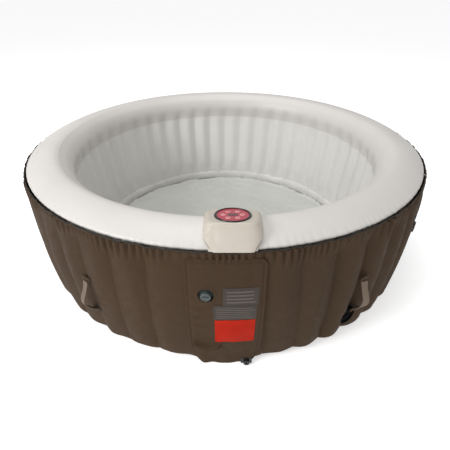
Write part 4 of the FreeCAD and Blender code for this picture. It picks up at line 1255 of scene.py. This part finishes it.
def make_handle_tabs():
    """The eight sewn patches that hold the straps."""
    first = None
    for side, (turn, *_) in HANDLES.items():
        for label, height in (("upper", 350.0), ("lower", 170.0)):
            patch = make_patch(
                "handle_patch_" + side + "_" + label,
                turn,
                height,
                44.0,
                24.0,
                "cover cloth",
                "brown_cover",
            )
            first = first or patch
    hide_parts("handle_end_tabs")


BUCKLES = {"right": 59.0, "back": 179.0, "left": -76.0}
BUCKLE_Z = 379.0
BUCKLE_DENT_Z = 396.0


def make_buckle(side):
    """A hanging snap socket: a waisted body, a mouth, side windows and a webbing bar."""
    turn = BUCKLES[side]
    place = on_wall(turn, BUCKLE_Z, 2.6)
    half, low, high = 16.0, -22.0, 22.0

    def work(form):
        outline = [
            (-13.0, low), (-4.0, low - 0.6), (4.0, low - 0.6), (13.0, low),
            (half, low + 5), (half, low + 12), (13.4, low + 19), (half - 0.5, low + 27),
            (half - 0.5, high - 5), (13.5, high - 1), (-13.5, high - 1), (-half + 0.5, high - 5),
            (-half + 0.5, low + 27), (-13.4, low + 19), (-half, low + 12), (-half, low + 5),
        ]
        plate(form, outline, 1.2, 7.6, lambda p: place @ p)
        plate(form, rounded(20, 13, 4, 4, (0, -8)), 7.2, 8.7, lambda p: place @ p)
        plate(form, rounded(7, 26, 2, 3, (0, 6)), 7.2, 8.6, lambda p: place @ p)
        for x in (-10.5, 10.5):
            plate(form, rounded(4.6, 20, 2.0, 3, (x, 6)), 7.2, 8.9, lambda p: place @ p)
        plate(form, rounded(31, 5.0, 2.2, 4, (0, high - 2.5)), 0.4, 9.0, lambda p: place @ p)

    socket = build("buckle_socket_" + side, work, bevel=0.9)
    dress(socket, "black plastic", "black_plastic", "buckle_" + side, "lid_buckle_" + side)

    def mouth(form):
        slot = rounded(22, 3.4, 1.5, 4)
        plate(form, slot, 0, 5.4, lambda p: place @ Vector((p.x, p.z * 0.2 - 22.9, p.y + 4.4)))

    dark = build("buckle_mouth_" + side, mouth)
    dress(dark, "flap rubber", "flap_rubber", "buckle_" + side)


def make_buckle_tabs():
    """The short webbing loops that the buckles hang from."""
    first = None
    for side, turn in BUCKLES.items():
        rings = []
        for k, height in enumerate(np.linspace(434, 403, 16)):
            place = on_wall(turn, height, 2.0)
            wave = 0.5 * math.sin(k * 0.8)
            tuck = 2.6 * (1 - float(smooth(403, 412, height)))
            ring = [place @ Vector((x, 0, y + wave - tuck)) for x, y in rounded(WEBBING_WIDE, 2.6, 1.1, 3)]
            rings.append([tuple(p * MM) for p in ring])
        tab = cap_ends(lay("buckle_tab_" + side, np.array(rings)))
        dress(tab, "black webbing", "black_webbing", "tub")
        first = first or tab
        make_patch("buckle_patch_" + side, turn, 439.0, 34.0, 16.0, "cover cloth", "brown_cover")
    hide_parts("lid_strap_tabs")


# ---------------------------------------------------------------- the control head


def head_half_width(height):
    """Half the head's width at a height: narrow at the hem, full at the shoulder."""
    rise = smooth(600, 642, height)
    fall = smooth(648, 704, height)
    return 76.0 + 26.5 * rise - 19.0 * fall


def head_front(height):
    """How far the head's front face stands from the axis at a height."""
    share = np.clip((692.5 - np.asarray(height, float)) / 88.5, 0, 1.2)
    return HEAD_FRONT + 39.0 * share**1.35


def head_roof(reach):
    """The height of the head's sloping top at a distance from the axis."""
    return 667.5 + (np.asarray(reach, float) - HEAD_BACK) * HEAD_SLOPE


def head_corner(angle, power):
    """A point of the head's unit outline seen from above: x from -1 to 1, y from 0 at the back to 1."""
    x, y = math.cos(angle), math.sin(angle)
    x = math.copysign(abs(x) ** (2 / power), x)
    y = math.copysign(abs(y) ** (2 / power), y)
    return x, (1 - y) / 2


def make_head():
    """The moulded head that straddles the rim, with soft edges and a round seat for the keypad."""
    steps = 160
    edge = 13.0
    half_depth = (HEAD_FRONT - HEAD_BACK) / 2
    rows = []
    levels = [("wall", s) for s in np.linspace(0, 1, 26)]
    levels += [("edge", a) for a in np.linspace(0, 90, 9)[1:]]
    levels += [("roof", s) for s in np.linspace(0, 1, 12)[1:]]
    centre_x = KEYPAD_AT[0]
    centre_r = -KEYPAD_AT[1]
    for kind, amount in levels:
        row = []
        softening = float(smooth(0.0, 0.45, amount)) if kind == "wall" else 1.0
        power = 11.0 - 6.2 * softening
        for k in range(steps):
            x, y = head_corner(2 * math.pi * (k + 0.5) / steps, power)
            height = 640.0
            for _ in range(12):
                back, front = HEAD_BACK, float(head_front(height))
                half = float(head_half_width(height))
                spot_x = centre_x + half * x
                spot_r = back + (front - back) * y
                turn_r = math.hypot(spot_x, spot_r)
                foot = float(rim_top(min(turn_r, 1020.0))) - 2.0
                roof = float(head_roof(spot_r)) - edge
                share = amount if kind == "wall" else 1.0
                height = foot + (roof - foot) * share
            if kind != "wall":
                sweep = math.radians(amount if kind == "edge" else 90)
                inset = edge * (1 - math.cos(sweep))
                pull_x = inset / 80.0
                spot_x = centre_x + (spot_x - centre_x) * (1 - pull_x)
                middle = (HEAD_BACK + HEAD_FRONT) / 2
                spot_r = middle + (spot_r - middle) * (1 - inset / half_depth)
                height = float(head_roof(spot_r)) - edge * (1 - math.sin(sweep))
            if kind == "roof":
                away_x, away_r = spot_x - centre_x, spot_r - centre_r
                angle = math.atan2(away_r, away_x)
                goal_x = centre_x + KEYPAD_SEAT * math.cos(angle)
                goal_r = centre_r + KEYPAD_SEAT * math.sin(angle)
                spot_x += (goal_x - spot_x) * amount
                spot_r += (goal_r - spot_r) * amount
                height = float(head_roof(spot_r))
            row.append((spot_x * MM, -spot_r * MM, height * MM))
        rows.append(row)
    return lay("head_shell_moulded", np.array(rows))


def keypad_edge(angle):
    """The red face's reach from the keypad's centre: wider from front to back than across."""
    return 57.5 + 3.2 * math.sin(angle) ** 2 - 2.0 * math.cos(angle) ** 6


def make_keypad_rims():
    """The keypad's bead: a thin raised ring, thicker at its two ends, that frames the face."""
    place = keypad_place()

    def framing(share, angle):
        return KEYPAD_RING + (keypad_edge(angle) - KEYPAD_RING) * share

    def work(form):
        bead = ((0, -1.0), (0.06, 2.0), (0.3, 4.2), (0.62, 4.8), (0.9, 4.0), (1, 2.4))
        skin_rings(form, turned_rings(form, bead, 128, place, framing))

    return build("keypad_bead", work)


def make_keypad_face():
    """The red face, very slightly domed, with a fine step round its edge."""
    place = keypad_place()

    def filling(share, angle):
        return (keypad_edge(angle) + 0.6) * share

    def work(form):
        dome = ((1.0, 1.3), (0.97, 1.74), (0.7, 1.78), (0.4, 1.8), (0.1, 1.81))
        skin_rings(form, turned_rings(form, dome, 96, place, filling), (-1,))

    return build("keypad_face_domed", work)


ICONS = {"heater": 180, "bubbles": 0, "filter": 120, "power": 60, "cooler": 240, "warmer": 300}
ICON_RING = 33.0


def icon_outlines(name):
    """Plain marks for the buttons: outlines in millimetres about the button's centre."""
    if name == "bubbles":
        bubbles = ((2.3, (-2.6, -1.6)), (1.9, (2.6, -1.2)), (1.5, (0.2, 3.0)))
        return [ring_of(radius, 16, centre) for radius, centre in bubbles]
    if name == "heater":
        return [rounded(1.7, 9.0, 0.8, 3, (x, 0)) for x in (-3.6, 0.0, 3.6)]
    if name == "filter":
        return [rounded(9.0, 1.5, 0.7, 3, (0, y)) for y in (-3.2, 0.0, 3.2)]
    if name == "power":
        return [rounded(1.8, 6.4, 0.8, 3, (0, 3.0)), rounded(7.4, 1.8, 0.8, 3, (0, -3.4))]
    way = 1 if name == "warmer" else -1
    return [[(-4.4, -2.8 * way), (4.4, -2.8 * way), (0.0, 4.2 * way)][::way]]


def make_icon(name):
    """Builds the mark on one button."""
    place = keypad_place()
    angle = math.radians(ICONS[name])
    x, y = ICON_RING * math.cos(angle), ICON_RING * math.sin(angle)

    def work(form):
        for outline in icon_outlines(name):
            spots = [(px + x, py + y) for px, py in outline]
            plate(form, spots, 3.0, 3.75, lambda p: place @ p)

    mark = build("button_mark_" + name, work, smooth_faces=False)
    dress(mark, "keypad red", "keypad_red", "button_" + name)
    return mark


# ---------------------------------------------------------------- the stage


def make_stage():
    """A pale floor, soft lights and the camera."""
    scene = bpy.context.scene
    bpy.ops.mesh.primitive_plane_add(size=160, location=(0, 0, 0))
    ground = bpy.context.active_object
    ground.name = "studio_floor"
    paint = bpy.data.materials.new("studio floor")
    paint.use_nodes = True
    shader = paint.node_tree.nodes["Principled BSDF"]
    shader.inputs["Base Color"].default_value = (0.93, 0.93, 0.93, 1)
    shader.inputs["Roughness"].default_value = 0.9
    shader.inputs["Specular IOR Level"].default_value = 0.05
    shader.inputs["Emission Color"].default_value = (1, 1, 1, 1)
    shader.inputs["Emission Strength"].default_value = 0.48
    ground.data.materials.append(paint)
    world = bpy.data.worlds.new("studio")
    world.use_nodes = True
    world.node_tree.nodes["Background"].inputs["Color"].default_value = (1, 1, 1, 1)
    world.node_tree.nodes["Background"].inputs["Strength"].default_value = 0.5
    scene.world = world
    lights = (
        ("key_softbox", (-4.2, -3.2, 3.4), 2.4, 178.0),
        ("front_softbox", (-0.8, -6.0, 2.2), 1.8, 45.0),
        ("top_softbox", (-0.4, 0.0, 4.6), 3.2, 84.0),
    )
    for name, spot, size, power in lights:
        lamp = bpy.data.lights.new(name, "AREA")
        lamp.shape = "DISK"
        lamp.size = size
        lamp.energy = power
        holder = bpy.data.objects.new(name, lamp)
        scene.collection.objects.link(holder)
        holder.location = spot
        aim = Vector((0, 0, 0.4)) - Vector(spot)
        holder.rotation_euler = aim.to_track_quat("-Z", "Y").to_euler()
    eye = bpy.data.cameras.new("studio_camera")
    eye.lens = 29.5
    eye.sensor_width = 36.0
    eye.shift_y = 0.011
    camera = bpy.data.objects.new("studio_camera", eye)
    scene.collection.objects.link(camera)
    camera.location = (0.0, -2.003, 1.341)
    aim = Vector((0, 0, 0)) - camera.location
    camera.rotation_euler = aim.to_track_quat("-Z", "Y").to_euler()
    scene.camera = camera
    scene.view_settings.view_transform = "Standard"


# ---------------------------------------------------------------- the add-on


class TubSizes(bpy.types.PropertyGroup):
    channels: bpy.props.IntProperty(
        name="Channels", description="Air channels round the wall", default=44, min=12, max=60
    )
    outlets: bpy.props.IntProperty(
        name="Outlets", description="Bubble outlets round the foot", default=120, min=20, max=180
    )
    channel_depth: bpy.props.FloatProperty(
        name="Channel depth", description="Inner channel swell, mm", default=17.0
    )
    cover_channel_depth: bpy.props.FloatProperty(
        name="Cover swell", description="Outer channel swell, mm", default=25.0
    )
    port_hole: bpy.props.FloatProperty(
        name="Port hole", description="Radius of the drain hole in the cover, mm", default=40.0
    )
    fineness: bpy.props.IntProperty(
        name="Fineness", description="Columns in each channel of the rim and cover", default=36
    )
    rim_sag: bpy.props.FloatProperty(
        name="Rim sag", description="How far the rim's inner shoulder gives in front, mm", default=12.0
    )
    knob_hole: bpy.props.FloatProperty(
        name="Valve hole", description="Radius of the valve hole in the panel, mm", default=28.5
    )


def colour_property(label, about, value):
    """A colour setting with its label, its help text and its first value."""
    return bpy.props.FloatVectorProperty(
        name=label, description=about, default=value, size=3, min=0, max=1, subtype="COLOR"
    )


class TubColours(bpy.types.PropertyGroup):
    rim_vinyl: colour_property("Rim", "Vinyl of the rim", (0.585, 0.563, 0.537))
    # Painted light: the wall colour is the rim's vinyl made lighter for the light inside the well.
    wall_vinyl: colour_property("Wall", "Vinyl of the inner wall", (0.665, 0.655, 0.625))
    # Painted shade: the floor colour is the rim's vinyl, slightly greyer and darkened for the shade in the
    # well.
    floor_vinyl: colour_property("Floor", "Vinyl of the floor", (0.53, 0.54, 0.505))
    cover_cloth: colour_property("Cover", "Cloth of the cover", (0.057, 0.0335, 0.018))
    head_shell: colour_property("Head", "Plastic of the head", (0.47, 0.425, 0.365))


class TUB_OT_finishes(bpy.types.Operator):
    """Builds every finish and puts them on the hard parts of the frame"""

    bl_idname = "tub.finishes"
    bl_label = "Finishes"
    bl_options = {"REGISTER", "UNDO"}

    def execute(self, context):
        make_finishes()
        finish_frame_parts()
        return {"FINISHED"}


class TUB_OT_vinyl(bpy.types.Operator):
    """Builds the rim, the walls with their webs, the bubble band, floors and bay lining"""

    bl_idname = "tub.vinyl"
    bl_label = "Vinyl tub"
    bl_options = {"REGISTER", "UNDO"}

    def execute(self, context):
        sizes = context.scene.tub_sizes
        vinyl = "white_vinyl"
        rim = dress(make_rim(sizes), "rim vinyl", vinyl, "tub", "rim_skin")
        # The inner wall, bubble band and outer skin take the wall's lightened vinyl, which is painted
        # light.
        wall = dress(make_inner_wall(sizes), "wall vinyl", vinyl, "tub", "wall_inner_skin")
        band = dress(make_bubble_band(sizes), "wall vinyl", vinyl, "tub", "bubble_ring")
        dress(make_outlets(sizes), "white plastic", "white_plastic", "tub")
        # The floor takes the floor's darkened vinyl, partly painted shade of the well.
        floor = dress(make_floor(sizes), "floor vinyl", vinyl, "tub", "floor_sheet")
        ground = dress(make_underside(sizes), "grey vinyl", "grey_vinyl", "tub", "base_sheet")
        outer = dress(make_outer_wall(sizes), "wall vinyl", vinyl, "tub", "wall_outer_skin")
        webs = dress(make_webs(sizes), "grey vinyl", "grey_vinyl", "tub", "i_beam_webs")
        bottom = dress(make_bottom(sizes), "grey vinyl", "grey_vinyl", "tub", "wall_bottom_ring")
        lining = dress(make_bay_lining(), "grey vinyl", "grey_vinyl", "tub", "pump_bay_liner")
        return {"FINISHED"}


class TUB_OT_cover(bpy.types.Operator):
    """Builds the brown cover, its hem, the pump panel, the labels and the two turning caps"""

    bl_idname = "tub.cover"
    bl_label = "Cover"
    bl_options = {"REGISTER", "UNDO"}

    def execute(self, context):
        sizes = context.scene.tub_sizes
        cloth = "brown_cover"
        cover = dress(make_cover(sizes), "cover cloth", cloth, "tub", "cover_skirt")
        hem = dress(make_hem(), "hem cord", "dark_cord", "tub", "hem_cord")
        panel = dress(make_panel(sizes), "cover cloth", cloth, "tub", "cover_pump_panel")
        upper = make_label("label_upper", (-0.6, 6.6), (367, 451))
        dress(upper, "grey label", "label_grey", "tub", "labels_grey")
        lower = make_label("label_lower", (-2.5, 6.3), (290, 365))
        dress(lower, "grey label", "label_grey", "tub")
        red = make_label("label_warm", (-2.3, 6.2), (154, 287), 0.8)
        dress(red, "red label", "label_red", "tub", "label_red")
        dress(make_label_blocks(), "label print", "label_grey", "tub")
        cap = make_cap("valve_cap_ribbed", VALVE_AT, VALVE_CAP, 0.55, 19.0)
        dress(cap, "slate plastic", "grey_plastic", "air_valve_cap", "air_valve_cap")
        # The drain cap gets the black port finish, partly painted shade of the hole.
        cap = make_cap("drain_cap_dished", DRAIN_AT, DRAIN_CAP, 0.8, 36.0)
        dress(cap, "port black", "black_plastic", "drain_cap", "drain_cap")
        return {"FINISHED"}


class TUB_OT_straps(bpy.types.Operator):
    """Builds the four carrying straps, their patches, and the three lid buckles"""

    bl_idname = "tub.straps"
    bl_label = "Straps and buckles"
    bl_options = {"REGISTER", "UNDO"}

    def execute(self, context):
        for side in HANDLES:
            make_handle(side)
        make_handle_tabs()
        for side in BUCKLES:
            make_buckle(side)
        make_buckle_tabs()
        return {"FINISHED"}


class TUB_OT_head(bpy.types.Operator):
    """Builds the control head, the keypad's bead and the marks on its buttons"""

    bl_idname = "tub.head"
    bl_label = "Control head"
    bl_options = {"REGISTER", "UNDO"}

    def execute(self, context):
        shell = make_head()
        dress(shell, "cream plastic", "cream_plastic", "tub", "head_shell")
        dress(make_keypad_rims(), "keypad black", "keypad_black", "tub", "keypad_bezel")
        dress(make_keypad_face(), "keypad red", "keypad_red", "tub", "keypad_face")
        for name in ICONS:
            make_icon(name)
        return {"FINISHED"}


class TUB_OT_stage(bpy.types.Operator):
    """Sets up the floor, the lights and the camera"""

    bl_idname = "tub.stage"
    bl_label = "Stage"
    bl_options = {"REGISTER", "UNDO"}

    def execute(self, context):
        make_stage()
        return {"FINISHED"}


OPERATORS = (
    TUB_OT_stage,
    TUB_OT_finishes,
    TUB_OT_vinyl,
    TUB_OT_cover,
    TUB_OT_straps,
    TUB_OT_head,
)


class TUB_PT_panel(bpy.types.Panel):
    """Lists the tub's steps, sizes and colours"""

    bl_idname = "TUB_PT_panel"
    bl_label = "Hot Tub"
    bl_space_type = "VIEW_3D"
    bl_region_type = "UI"
    bl_category = "Hot Tub"

    def draw(self, context):
        for group in (context.scene.tub_sizes, context.scene.tub_colours):
            for name in group.__annotations__:
                self.layout.prop(group, name)
        for operator in OPERATORS:
            self.layout.operator(operator.bl_idname)


CLASSES = (TubSizes, TubColours) + OPERATORS + (TUB_PT_panel,)


def register():
    """Registers the classes and the two groups of settings."""
    for item in CLASSES:
        bpy.utils.register_class(item)
    bpy.types.Scene.tub_sizes = bpy.props.PointerProperty(type=TubSizes)
    bpy.types.Scene.tub_colours = bpy.props.PointerProperty(type=TubColours)


def unregister():
    """Takes the settings and the classes away again."""
    del bpy.types.Scene.tub_colours
    del bpy.types.Scene.tub_sizes
    for item in reversed(CLASSES):
        bpy.utils.unregister_class(item)


def main():
    """Runs every step in order."""
    register()
    for operator in OPERATORS:
        group, action = operator.bl_idname.split(".")
        getattr(getattr(bpy.ops, group), action)()


if __name__ == "__main__":
    main()
